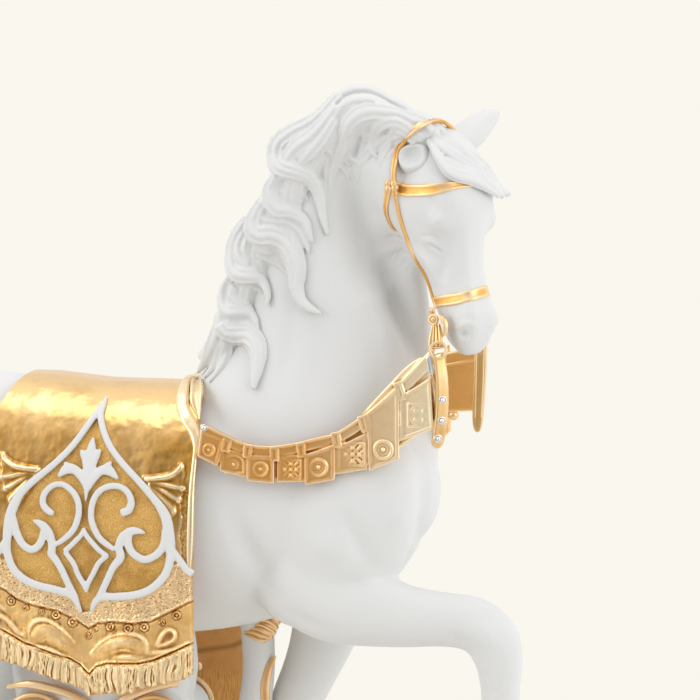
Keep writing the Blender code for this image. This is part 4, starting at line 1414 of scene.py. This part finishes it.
def make_bit_fittings():
    """The studded straps that hang from the bit, with the bell-shaped ends, rings and rosettes."""
    turned = unit(np.array([0.55, -0.83, 0.0]))
    near_strap = [
        (170.4, -47.8, 333.6, 2.8, 1.2), (170.9, -47.6, 331, 3.1, 1.5), (172.2, -47.6, 321.1, 3.4, 1.6),
        (172.5, -47.4, 309, 3.5, 1.6), (172.0, -47.2, 299, 3.5, 1.6), (170.9, -47, 291, 3.5, 1.6),
        (170.1, -47, 287, 3.3, 1.6), (169.6, -46.9, 284.6, 2.6, 1.5), (169.4, -46.8, 283.4, 1.3, 1.2),
    ]
    far_strap = [
        (188.6, -19, 337, 3.5, 1.4), (188.2, -19, 322, 3.4, 1.5), (187.5, -19, 306, 3.2, 1.5),
        (187.0, -19, 297, 2.9, 1.4), (186.9, -19, 291.5, 2.2, 1.3), (187.0, -19, 289.2, 1.0, 1.0),
    ]
    seam = [(186.6, -20.3, 336), (186.2, -20.4, 318), (185.8, -20.4, 297)]
    edge = [(190.4, -20.2, 336), (190.0, -20.3, 318), (189.0, -20.3, 297)]
    near_bell = [
        (168.6, -43, 349, 1.8, 1.8), (168.8, -44, 346.4, 2.5, 2.2), (169.1, -45.2, 341.6, 3.3, 2.6),
        (169.2, -46, 338.2, 3.6, 2.6), (169.2, -46.2, 336.8, 3.4, 2.2),
    ]
    near_lip = [(165.9, -46.2, 337.6, 0.7, 1.8), (169.2, -47, 337, 0.8, 2.9), (172.6, -46.2, 337.6, 0.7, 1.8)]
    far_bell = [(187, -17, 348, 1.6, 1.5), (187.2, -18, 344, 2.6, 2.2), (188, -18.6, 339, 3.2, 2.2)]

    def thin_rows(route):
        return [(*point, 0.5, 0.7) for point in route]

    forms = [
        loft("near drop", near_strap, side=turned, segments=28, square=0.45),
        loft("far drop", far_strap, segments=28, square=0.5),
        loft("far drop seam", thin_rows(seam), segments=10),
        loft("far drop edge", thin_rows(edge), segments=10),
        torus("near ring", (170.7, -49.3, 335.6), 4.3, 0.85, facing=(0.1, -1, 0.1)),
        torus("far ring", (188.6, -20, 338.4), 3.4, 0.8, facing=(0.5, -1, 0.2)),
        loft("near bell", near_bell, segments=80, strands=10, depth=0.24),
        loft("near bell lip", near_lip, segments=16),
        loft("far bell", far_bell, segments=48, strands=9, depth=0.1),
        dome("knob", (173.2, -15.5, 297.6), 2.9, 2.6),
    ]
    leaf = [
        (100, -13.5, 17.6, 0.9, 1.4),
        (103.5, -11.5, 16.8, 1.6, 1.6),
        (107.5, -11.8, 16.6, 1.5, 1.6),
        (111, -13, 16.6, 0.7, 1.2),
    ]
    for side in (1, -1):
        out = HEAD_RIGHT * side + HEAD_OUT * 0.4
        middle = head_point(101.2, -18, 18.6 * side)
        forms.append(torus("rosette rim", middle, 2.4, 0.8, facing=out, segments=20))
        forms.append(dome("rosette", middle, 1.7, 1.5, facing=out))
        sections = on_head(on_side(leaf, side))
        forms.append(loft("bit leaf", sections, side=HEAD_RIGHT, segments=20, strands=3, depth=0.12))
        forms.append(dome("link", head_point(96.2, -20, 16.8 * side), 1.9, 1.3, facing=out))
        forms.append(dome("lower link", head_point(98.4, -20.5, 17.4 * side), 1.3, 1.2, facing=out))
    return joined("bit_fittings", forms)


def make_studs():
    """Platinum beads and plate on the drop, and the bead at the rear end of the rein."""
    forms = []
    for x, z in ((173.3, 309.3), (172.9, 298.3), (171.0, 288.6)):
        forms.append(dome("stud", (x, -49.6, z), 1.35, 1.5, facing=(0.3, -0.95, 0)))
        forms.append(torus("stud rim", (x - 0.2, -49.0, z), 1.8, 0.5, facing=(0.4, -0.9, 0), segments=20))
    forms.append(dome("rear bead", (43.6, -54.2, 291.9), 1.5, 1.4))
    forms.append(torus("rear bead rim", (43.6, -53.8, 291.9), 1.7, 0.35, segments=20))
    corners = [(163.6, 331.2), (166.4, 333.8), (168.4, 323), (165.4, 322.2)]
    forms.append(plate("buckle", corners, 2.4, 2.2, rim=0.4, sink=0.2))
    return joined("studs", forms)


def strap_on(name, skin, rows, thick=1.1, channel=0.55):
    """A strap laid on the skin, from rows of along, front, right, half width."""
    rows = smooth_rows(rows, 4)
    places = [on_skin(skin, head_point(along, front, right)) for along, front, right, _ in rows]
    points, facings = (relaxed(np.array(values), 3) for values in zip(*places))
    points = points + unit(facings) * 0.3 * MM
    sections = np.column_stack([millimetres(points), rows[:, 3], np.full(len(rows), thick)])
    return loft(name, sections, side=unit(facings), segments=20, steps=1, square=0.7, channel=channel)


def make_bridle(skin):
    browband = [
        (28.5, -22.2, 27.1, 3.3), (30.2, -19.5, 24.5, 3.4), (31.7, -14.4, 23.7, 3.4),
        (34.0, -4.1, 22.4, 3.2), (34.6, 4.5, 19.2, 3.0), (34.0, 9.3, 12.5, 2.3), (33.9, 10.4, 3.0, 1.9),
        (33.2, 9.5, -6, 1.7), (33, 3, -20, 2.0), (30, -12, -26, 2.6), (28.5, -22, -27, 3.2),
    ]
    noseband = [
        (91.2, -26, 13.4, 2.6), (91.5, -22.9, 13.4, 2.9), (91.7, -16.1, 13.6, 3.1), (92.6, -6.6, 11.2, 3.1),
        (92.4, 1.4, 7.5, 3.1), (91.1, 2.7, -0.1, 3.0), (90.1, 1.6, -7, 3.0), (91, -7, -12, 2.9),
        (91, -18, -14, 2.8), (92, -27, -10, 2.6), (93, -31, 0, 2.5), (92, -29, 9, 2.5),
        (91.2, -26, 13.4, 2.6),
    ]
    forms = [strap_on("browband", skin, browband), strap_on("noseband", skin, noseband)]
    cheek = [
        (28.5, -22.6, 27.6), (31, -23.2, 27.5), (35.3, -23.7, 26.5), (42.8, -24.7, 25.1),
        (51.9, -25.5, 23.5), (61.7, -25.8, 21.7), (70.3, -27, 19), (79.8, -26.4, 15.8), (88.3, -25, 13.8),
        (94.5, -22, 13.4),
    ]
    latch = [
        (27.4, -24.9, 29.7, 1.9), (31, -26.2, 29.6, 1.7), (36.1, -29.8, 30.0, 1.6), (40.8, -33, 29.4, 1.4),
        (47.4, -35.8, 26.8, 1.1), (53.6, -38, 23.7, 0.6),
    ]
    knots = (
        (26.4, -21.6, 27.5, 2.2, 1.8), (28.6, -21.8, 27.2, 2.3, 1.8), (31.2, -22.6, 27.2, 1.8, 1.4),
        (25.6, -24.6, 29.7, 1.9, 1.5), (28.4, -25.2, 29.7, 2.2, 1.7),
    )
    for side in (1, -1):
        cheek_rows = [(*row, 1.2) for row in on_side(cheek, side)]
        forms.append(strap_on("cheek strap", skin, cheek_rows, thick=1.0, channel=0))
        forms.append(strap_on("throat latch", skin, on_side(latch, side), thick=1.0, channel=0.3))
        for *point, size, rise in on_side(knots, side):
            place, normal = on_skin(skin, head_point(*point))
            forms.append(dome("knot", millimetres(place), size, rise, facing=normal))
    crown = [
        (27, -21.6, 27.8, 1.5), (22, -20.5, 28.2, 1.5), (16.2, -19, 27.5, 1.7), (9, -17, 25.5, 2.2),
        (4.4, -11, 24.3, 2.5), (1.8, -4.5, 24.4, 2.4), (-0.9, 0.2, 20.5, 2.0), (-2.9, -0.5, 11.8, 1.4),
        (-3.2, -2.6, 4, 1.2), (-1.2, -4, -1.8, 1.2), (2.2, -6, -7.5, 1.2), (9, -11, -18, 1.5),
        (18, -18, -26, 1.6), (27, -22, -27, 1.5),
    ]
    sections = [(*row, 1.2) for row in on_head(crown)]
    outward = np.array([unit(head_point(a, f, r) - head_point(26, -20, 0)) for a, f, r, _ in crown])
    forms.append(loft("crownpiece", sections, side=outward, segments=24, steps=4, square=0.7, channel=0.4))
    return joined("bridle", forms)


# Support ----------------------------------------------------------------------------------------

SUPPORT_STEM = [
    (-20, 0, -0.5, 62, 32),
    (-20, 0, 14, 56, 29),
    (-24, 0, 50, 44, 24),
    (-27, 0, 90, 44, 25),
    (-29, 0, 125, 50, 28),
    (-30, 0, 152, 54, 30),
    (-30, 0, 185, 50, 28),
]
SUPPORT_BRANCH = [
    (26, 8, -0.5, 18, 16),
    (35, 10, 30, 13, 12),
    (45, 14, 75, 11, 10),
    (53, 16, 120, 9.5, 9),
    (56, 17, 146, 9.2, 9),
    (56, 16, 165, 9.5, 9),
    (55, 14, 190, 10, 10),
]
# How far out the faces of the stem are: z, y
STEM_FACE = [(0, 28), (50, 23), (90, 23), (125, 26), (152, 29)]
# Volutes on both faces of the carved support: middle x, z, outer radius, and the way the coil turns
VOLUTES = [
    (-62, 118, 20, 1), (10, 122, 18, -1), (-58, 66, 17, -1), (8, 60, 16, 1), (-60, 18, 15, 1),
    (14, 16, 14, -1),
]


def volute(name, x, z, radius, way, y, side):
    """A spiral band on one face of the support, thinning to its eye."""
    tube, turns = 2.0, 1.6
    angles = np.linspace(0, turns * 2 * math.pi, 26)
    reach = radius * (1 - 0.72 * angles / angles[-1])
    rows = []
    for angle, r in zip(angles, reach):
        px, pz = x + way * r * math.cos(angle + 0.6), z + r * math.sin(angle + 0.6)
        depth = y + 3.0 * angle / angles[-1]
        rows.append((px, side * depth, pz, tube * (0.5 + 0.5 * r / radius), tube * 0.8))
    return loft(name, rows, segments=14, steps=2)


def make_support():
    """White waves that carry the belly, with a branch beside them, and their gilded edges."""
    white = [loft("stem", SUPPORT_STEM, segments=64, strands=9, depth=0.05, twist=0.8)]
    white.append(loft("branch", SUPPORT_BRANCH, segments=32, strands=4, depth=0.03))
    gilt = []
    for side in (-1, 1):
        for i, (x, z, radius, way) in enumerate(VOLUTES):
            y = float(line_at(STEM_FACE, z))
            white.append(mass("curl", (x, side * (y - 6), z), (radius * 0.96, 12, radius * 0.96)))
            gilt.append(volute("rim", x, z, radius, way, y + 4, side))
    body = joined("support_white", white)
    one_skin(body, 2.2, 3)
    crescent = [
        (67, 12, 156, 0.8, 0.8), (63.4, 11, 149, 2.2, 2.0), (61.6, 10.5, 141, 2.8, 2.6),
        (61.4, 10.5, 133, 2.7, 2.6), (62.6, 10.5, 124, 2.2, 2.2), (60, 10, 112, 1.4, 1.4),
        (54, 9, 98, 0.8, 0.8),
    ]
    gilt.append(loft("crescent", crescent, segments=20, strands=3, depth=0.1))
    plumes = [
        ((50, 9, 169), (55, 8, 168.5), (60, 7.5, 166.8), (64, 7.5, 166.4)),
        ((51, 9, 171), (57, 7.5, 171), (62, 7, 169.4), (66.5, 7, 167.6)),
        ((53, 9, 173), (59, 7.5, 173.4), (64, 7, 172), (68, 7.5, 169.4)),
        ((56, 9, 175), (61, 8, 175.8), (65.5, 7.5, 175), (69, 8, 172)),
        ((58, 12, 177), (63, 10, 178), (67, 9, 177.4), (69.6, 9.5, 174.6)),
    ]
    plume_sizes = (1.2, 2.4, 2.8, 1.5)
    for i, route in enumerate(plumes):
        rows = [(*point, size, size) for point, size in zip(route, plume_sizes)]
        gilt.append(loft(f"plume {i}", rows, segments=24, strands=5, depth=0.14))
    waves = [
        ((-78, -27, 140), (-64, -31, 143), (-48, -32, 141), (-34, -31, 136), (-24, -30, 128)),
        ((-20, -30, 126), (-10, -31, 136), (4, -30, 143), (20, -24, 146)),
        ((-70, -25, 90), (-52, -27, 96), (-36, -28, 92), (-26, -27, 82)),
        ((-24, -26, 80), (-12, -27, 90), (0, -26, 94), (14, -22, 92)),
        ((-68, -26, 44), (-50, -27, 48), (-34, -28, 44), (-22, -27, 34)),
    ]
    wave_sizes = (1.1, 2.2, 2.5, 2.2, 1.1)
    for i, route in enumerate(waves):
        for side in (1, -1):
            rows = [(x, y * side, z, size, size * 0.8) for (x, y, z), size in zip(route, wave_sizes)]
            gilt.append(loft(f"wave {i}", rows, segments=16, strands=3, depth=0.08))
    return body, joined("support_gilt", gilt)


# Materials --------------------------------------------------------------------------------------


def srgb(code):
    """A hex colour as linear values."""
    values = [int(code[i : i + 2], 16) / 255 for i in (0, 2, 4)]
    return tuple(v / 12.92 if v <= 0.04045 else ((v + 0.055) / 1.055) ** 2.4 for v in values)


def set_inputs(tree, node, inputs):
    """Links a node's inputs to sockets, or gives them values."""
    for key, value in inputs.items():
        if isinstance(value, bpy.types.NodeSocket):
            tree.links.new(value, node.inputs[key])
        else:
            node.inputs[key].default_value = value


def add_node(tree, kind, inputs=None, **settings):
    node = tree.nodes.new(kind)
    for key, value in settings.items():
        setattr(node, key, value)
    set_inputs(tree, node, inputs or {})
    return node


def opaque(colour):
    """A hex colour as the four numbers of a socket. A socket or four numbers stay as they are."""
    return (*srgb(colour), 1) if isinstance(colour, str) else colour


def mixed(tree, share, first, second):
    """Two colours mixed, the first where share is 0."""
    colours = {0: share, 6: opaque(first), 7: opaque(second)}
    return add_node(tree, "ShaderNodeMix", colours, data_type="RGBA").outputs[2]


def ranged(tree, value, low, high, to_low=0.0, to_high=1.0, **settings):
    """A value moved from one range to another and held within it."""
    spans = {"Value": value, "From Min": low, "From Max": high, "To Min": to_low, "To Max": to_high}
    return add_node(tree, "ShaderNodeMapRange", spans, **settings).outputs[0]


def reckoned(tree, operation, *values):
    return add_node(tree, "ShaderNodeMath", dict(enumerate(values)), operation=operation).outputs[0]


def noise(tree, where, scale, detail, rough=0.5):
    settings = {"Vector": where, "Scale": scale, "Detail": detail, "Roughness": rough}
    return add_node(tree, "ShaderNodeTexNoise", settings).outputs["Fac"]


def new_material(name):
    """A material with its tree, its surface and the place on the piece in metres."""
    made = bpy.data.materials.new(name)
    made.use_nodes = True
    tree = made.node_tree
    place = add_node(tree, "ShaderNodeTexCoord").outputs["Object"]
    return made, tree, tree.nodes["Principled BSDF"], place


def bisque_porcelain():
    """Unglazed porcelain: an even white with a faint bloom, no gloss and a trace of the sponge."""
    made, tree, surface, place = new_material("bisque porcelain")
    bloom = noise(tree, place, 26.0, 4.0)
    grain = {"Height": noise(tree, place, 900.0, 2.0), "Strength": 0.06, "Distance": 0.0004}
    set_inputs(tree, surface, {
        "IOR": 1.5,
        "Base Color": mixed(tree, bloom, "DBDCD9", "D6D7D4"),
        "Roughness": ranged(tree, bloom, 0.3, 0.7, 0.48, 0.57),
        "Normal": add_node(tree, "ShaderNodeBump", grain).outputs[0],
    })
    return made


def gold(name, colour, rough, clouds, painted_light_tint=None):
    """Fired gold with random clouds, painted brown as shade where it lies deep and pale as highlight on the
    ridges. A lighter colour, if given, is painted in towards +X as painted light.
    """
    made, tree, surface, place = new_material(name)
    cloud = noise(tree, place, 90.0, 5.0, 0.6)
    depth = add_node(tree, "ShaderNodeAttribute", attribute_name="depth").outputs["Fac"]
    strength = min(1, clouds * 4)
    # What each tint follows, the range over which it comes in, how much of it, and its colour
    tints = [
        (cloud, 0.45, 0.7, clouds, "B9853C"),
        # painted shade: brown where the surface lies below its surroundings
        (depth, 0.1, 0.6, 0.4 * strength, "B4762C"),
        (depth, 0.4, 0.9, 0.75 * strength, "85561F"),
        # painted highlight: pale where the surface stands above its surroundings
        (depth, -0.12, -0.7, 0.6 * strength, "FFEBC4"),
    ]
    if painted_light_tint:
        # painted light: a lighter colour towards +X, where the front plates of the rein face the light
        along = add_node(tree, "ShaderNodeSeparateXYZ", {"Vector": place}).outputs["X"]
        tints.insert(0, (along, 0.1, 0.165, 1.0, painted_light_tint))
    for value, low, high, amount, tint in tints:
        colour = mixed(tree, ranged(tree, value, low, high, 0.0, amount), colour, tint)
    set_inputs(tree, surface, {
        "Metallic": 1.0,
        "Base Color": colour,
        "Roughness": ranged(tree, cloud, 0.35, 0.75, rough, rough + 0.14),
    })
    return made


def mark_depth(piece, reach, full):
    """Stores how far each point lies below its surroundings, from -1 to 1, where full is in millimetres. The
    gold paints shade and highlight from it.
    """
    mesh = piece.data
    ends = np.empty(len(mesh.edges) * 2, np.int64)
    mesh.edges.foreach_get("vertices", ends)
    first, second = ends.reshape(-1, 2).T
    count = np.maximum(1, np.bincount(ends, minlength=len(mesh.vertices)))
    points = points_of(piece)

    def gathered(values):
        """The sum over the neighbours of each point."""
        one_way = np.bincount(first, values[second], len(points))
        return one_way + np.bincount(second, values[first], len(points))

    around = points.copy()
    for _ in range(reach):
        total = np.column_stack([gathered(values) for values in around.T])
        around = total / count[:, None]
    normals = np.empty(len(points) * 3)
    mesh.vertices.foreach_get("normal", normals)
    deep = ((around - points) * normals.reshape(-1, 3)).sum(axis=1) / (full * MM)
    mesh.attributes.new("depth", "FLOAT", "POINT").data.foreach_set("value", np.clip(deep, -1, 1))


def white_glaze():
    """Clear glaze over white porcelain, with a thin gold line: it mirrors the studio softly."""
    made, tree, surface, place = new_material("white glaze")
    height = add_node(tree, "ShaderNodeSeparateXYZ", {"Vector": place}).outputs["Z"]
    line = reckoned(tree, "COMPARE", height, 0.0205, 0.0012)
    colour = mixed(tree, line, "E4E4E0", "F2CB85")
    set_inputs(tree, surface, {"Base Color": colour, "Metallic": line, "Roughness": 0.18, "IOR": 1.5})
    return made


def cloth_gold():
    """Gold in five finishes: burnished above, stippled in the medallion, punched round it, matt on the band
    and combed on the fringe. Shade is painted brown where it lies deep, and highlight pale along the ridges."""
    made, tree, surface, place = new_material("gilded saddle cloth")
    mix, span, reckon = (partial(tool, tree) for tool in (mixed, ranged, reckoned))
    zone = add_node(tree, "ShaderNodeVertexColor", layer_name="zone")
    zones = add_node(tree, "ShaderNodeSeparateColor", {"Color": zone.outputs["Color"]})
    stippled, punched, matt = zones.outputs
    fringe = add_node(tree, "ShaderNodeAttribute", attribute_name="fringe").outputs["Fac"]
    height = add_node(tree, "ShaderNodeSeparateXYZ", {"Vector": place}).outputs["Z"]

    def stretched(scale):
        return add_node(tree, "ShaderNodeMapping", {"Vector": place, "Scale": scale}).outputs[0]

    cloud, patch, fine = (
        noise(tree, place, *size, 0.62) for size in ((60.0, 6.0), (24.0, 3.0), (1900.0, 2.0))
    )
    strokes = noise(tree, stretched((1.0, 1.0, 0.12)), 1500.0, 1.0, 0.62)
    # painted reflection: below its bright top the burnished gold turns browner, with darker patches, as the
    # mirror of the darker room
    painted_reflection_zone = span(height, HOOF_LEVEL + 0.308, HOOF_LEVEL + 0.282)
    painted_reflection_tone = reckon("ADD", painted_reflection_zone, reckon("MULTIPLY_ADD", patch, 2.2, -1.25))
    burnished = mix(span(painted_reflection_tone, 0.0, 1.3), "F4CF92", "BC862C")
    painted_reflection_patches = reckon("MULTIPLY", span(cloud, 0.5, 0.68, 0.0, 0.7), painted_reflection_zone)
    burnished = mix(painted_reflection_patches, burnished, "957028")
    grains = mix(span(fine, 0.42, 0.6), "C99B50", "E6C07A")
    ground = mix(span(cloud, 0.48, 0.7, 0.0, 0.6), grains, "AA7832")
    ground = mix(span(patch, 0.5, 0.64, 0.0, 0.5), ground, "96682A")
    cells = {"Vector": stretched((0.6, 1.0, 1.3)), "Scale": 640.0, "Randomness": 1.0}
    pits = add_node(tree, "ShaderNodeTexVoronoi", cells).outputs["Distance"]
    # the pits of the punched ground are painted dark brown as shade
    beaten = mix(span(pits, 0.34, 0.2, 0.0, 0.8), mix(cloud, "FCDFB0", "EFC488"), "94682C")
    soft = mix(span(cloud, 0.42, 0.7, 0.0, 0.7), "F4CA86", "CC9648")
    combed = mix(span(strokes, 0.56, 0.66, 0.0, 0.5), "FADDA8", "A5763A")
    colour, rough = burnished, span(cloud, 0.3, 0.8, 0.17, 0.36)
    for share, finish, finish_rough in (
        (stippled, ground, 0.5), (punched, beaten, 0.32), (matt, soft, 0.42), (fringe, combed, 0.4),
    ):
        colour = mix(share, colour, finish)
        rough = add_node(tree, "ShaderNodeMix", {0: share, 2: rough, 3: finish_rough}).outputs[0]

    # the lining, which is marked as both stippled and matt. Its colours are painted lighter to make up for
    # the shade under the belly: painted light.
    lined = reckon("MULTIPLY", stippled, matt)
    above = span(height, HOOF_LEVEL + 0.136, HOOF_LEVEL + 0.139)
    streaked = mix(span(strokes, 0.4, 0.7, 0.0, 0.8), "FFCB80", "D99A4E")
    colour = mix(lined, colour, mix(above, streaked, mix(cloud, "FFCB88", "EDB066")))
    # painted shade where the relief lies low, and painted highlight where it stands high
    lift = zone.outputs["Alpha"]
    colour = mix(span(lift, 0.42, 0.1, 0.0, 0.85), colour, "90622A")
    colour = mix(span(lift, 0.57, 0.85, 0.0, 0.8), colour, "FFEBC4")

    strength = reckon("MULTIPLY", stippled, 0.55)
    strength = reckon("MULTIPLY_ADD", punched, 0.3, strength)
    strength = reckon("MULTIPLY_ADD", matt, 0.2, strength)
    polish = reckon("MULTIPLY_ADD", painted_reflection_zone, 0.12, 0.1)
    rolling = {"Height": noise(tree, place, 48.0, 2.5, 0.62), "Strength": polish, "Distance": 0.014}
    normal = add_node(tree, "ShaderNodeBump", rolling).outputs[0]
    grained = {"Height": fine, "Strength": strength, "Distance": 0.0008, "Normal": normal}
    normal = add_node(tree, "ShaderNodeBump", grained).outputs[0]
    set_inputs(tree, surface, {"Metallic": 1.0, "Base Color": colour, "Roughness": rough, "Normal": normal})
    return made


def make_camera():
    """The view from a little in front of the near side, through a long lens."""
    camera = bpy.data.cameras.new("camera")
    camera.lens = 150
    holder = bpy.data.objects.new("camera", camera)
    bpy.context.scene.collection.objects.link(holder)
    azimuth, elevation = math.radians(12), math.radians(5)
    aim = Vector(spot((112.5, 0, 330.6)))
    seen_width = 0.385
    distance = seen_width * camera.lens / camera.sensor_width
    direction = Vector(
        (math.sin(azimuth) * math.cos(elevation), -math.cos(azimuth) * math.cos(elevation),
         math.sin(elevation))
    )
    holder.location = aim + direction * distance
    holder.rotation_euler = (math.pi / 2 - elevation, 0, azimuth)
    bpy.context.scene.camera = holder


# The light of the white walls, and what is added towards a direction: start and end of the cone, amount
WALLS = 0.53
WALL_LIGHTS = [
    ((1.0, -0.1, 0.15), 0.2, 0.95, 0.55),
    ((-0.95, -0.2, 0.25), 0.2, 0.95, 0.5),
    ((0.0, 1.0, 0.1), 0.0, 0.9, 0.4),
    ((0.0, -0.3, 0.95), 0.3, 0.9, 0.36),
    ((0.0, 0.0, -1.0), 0.1, 0.9, 0.35),
    ((0.12, -0.86, 0.5), 0.72, 0.97, -0.2),
]


def make_studio():
    """White walls, brighter at the sides and behind, with a darker room in front for the gold to mirror."""
    scene = bpy.context.scene
    scene.view_settings.view_transform = "Standard"
    world = bpy.data.worlds.new("studio")
    scene.world = world
    world.use_nodes = True
    tree = world.node_tree
    seen = add_node(tree, "ShaderNodeBackground", {"Color": opaque("FAF7EE"), "Strength": 1.0})
    way = add_node(tree, "ShaderNodeTexCoord").outputs["Generated"]
    bright = WALLS
    for direction, start, end, amount in WALL_LIGHTS:
        heading = {0: way, 1: direction}
        share = add_node(tree, "ShaderNodeVectorMath", heading, operation="DOT_PRODUCT").outputs["Value"]
        added = ranged(tree, share, start, end, 0.0, amount, interpolation_type="SMOOTHSTEP")
        bright = reckoned(tree, "ADD", bright, added)
    glow = add_node(tree, "ShaderNodeBackground", {"Color": opaque("FDFCFF"), "Strength": bright})
    to_camera = add_node(tree, "ShaderNodeLightPath").outputs["Is Camera Ray"]
    mix = add_node(tree, "ShaderNodeMixShader", {0: to_camera, 1: glow.outputs[0], 2: seen.outputs[0]})
    tree.links.new(mix.outputs[0], tree.nodes["World Output"].inputs["Surface"])

    bpy.ops.object.select_all(action="DESELECT")
    bpy.ops.mesh.primitive_cylinder_add(vertices=128, radius=0.42, depth=0.01, location=(0, 0, -0.0052))
    floor = named("floor")
    bpy.ops.object.transform_apply(location=True)
    card, card_tree, surface, _ = new_material("pale card")
    set_inputs(card_tree, surface, {"Base Color": opaque("EFEBE0"), "Roughness": 0.9})
    floor.data.materials.append(card)

    for name, place, size, power in (
        ("overhead softbox", (-0.15, -0.3, 1.7), 0.8, 2.8),
        ("right softbox", (1.6, -0.9, 0.9), 0.9, 6.5),
        ("left softbox", (-1.4, -0.9, 0.9), 0.8, 6),
    ):
        light = bpy.data.lights.new(name, "AREA")
        light.size = size
        light.energy = power
        holder = bpy.data.objects.new(name, light)
        scene.collection.objects.link(holder)
        holder.location = place
        aim = Vector((0.05, 0, 0.3)) - Vector(place)
        holder.rotation_euler = aim.to_track_quat("-Z", "Y").to_euler()


def finish_piece(piece, material):
    """Gives a piece its material and smooth shading, and fixes it to the root body."""
    piece.data.materials.clear()
    piece.data.materials.append(material)
    only(piece)
    bpy.ops.object.shade_smooth_by_angle(angle=math.radians(50))
    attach(piece, "root")


def main():
    make_camera()
    make_studio()
    white = bisque_porcelain()
    body = make_body()
    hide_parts("horse")
    base = frame["nodes"]["base"]
    for slot in base.material_slots:
        slot.material = white_glaze()
    for piece in (body, make_mane(body), make_forelock(), make_tail(), *make_arabesques()):
        finish_piece(piece, white)
    cloth = cloth_gold()
    finish_piece(make_cloth_side("cloth_near_side", -1, CLOTH_STEP, 0.0), cloth)
    finish_piece(make_cloth_side("cloth_far_side", 1, 1.5, FAR_DROP), cloth)
    bright = gold("bright gold", "FDE6B8", 0.22, clouds=0.4)
    strap_gold = gold("strap gold", "E8B468", 0.43, clouds=0.4)
    # the satin gold is painted lighter towards the front of the rein, as painted light
    satin = gold("satin gold", "E3AA62", 0.36, clouds=0.25, painted_light_tint="FFEEC6")
    platinum = gold("platinum", "E6E4DF", 0.12, clouds=0.0)
    rein = make_near_rein()
    support, gilt = make_support()
    finish_piece(support, white)
    for piece, lustre, reach, full in (
        (make_cloth_borders(), bright, 4, 0.5),
        (rein, satin, 10, 0.3),
        # a paler copy of the satin gold, painted lighter for the far rein where it lies in shade: painted
        # light
        (make_far_rein(rein), gold("pale satin gold", "F8CC88", 0.4, clouds=0.25), 4, 5),
        (make_bit_fittings(), gold("drop gold", "D9AE66", 0.38, clouds=0.5), 3, 0.2),
        (make_studs(), platinum, 3, 0.3),
        (make_bridle(body), strap_gold, 3, 0.25),
        # a darker gold for the support's gilt
        (gilt, gold("darker support gold", "DBA35C", 0.4, clouds=0.4), 3, 0.4),
    ):
        # the depth from which each gold paints shade in hollows and highlight on ridges
        mark_depth(piece, reach, full)
        finish_piece(piece, lustre)


main()
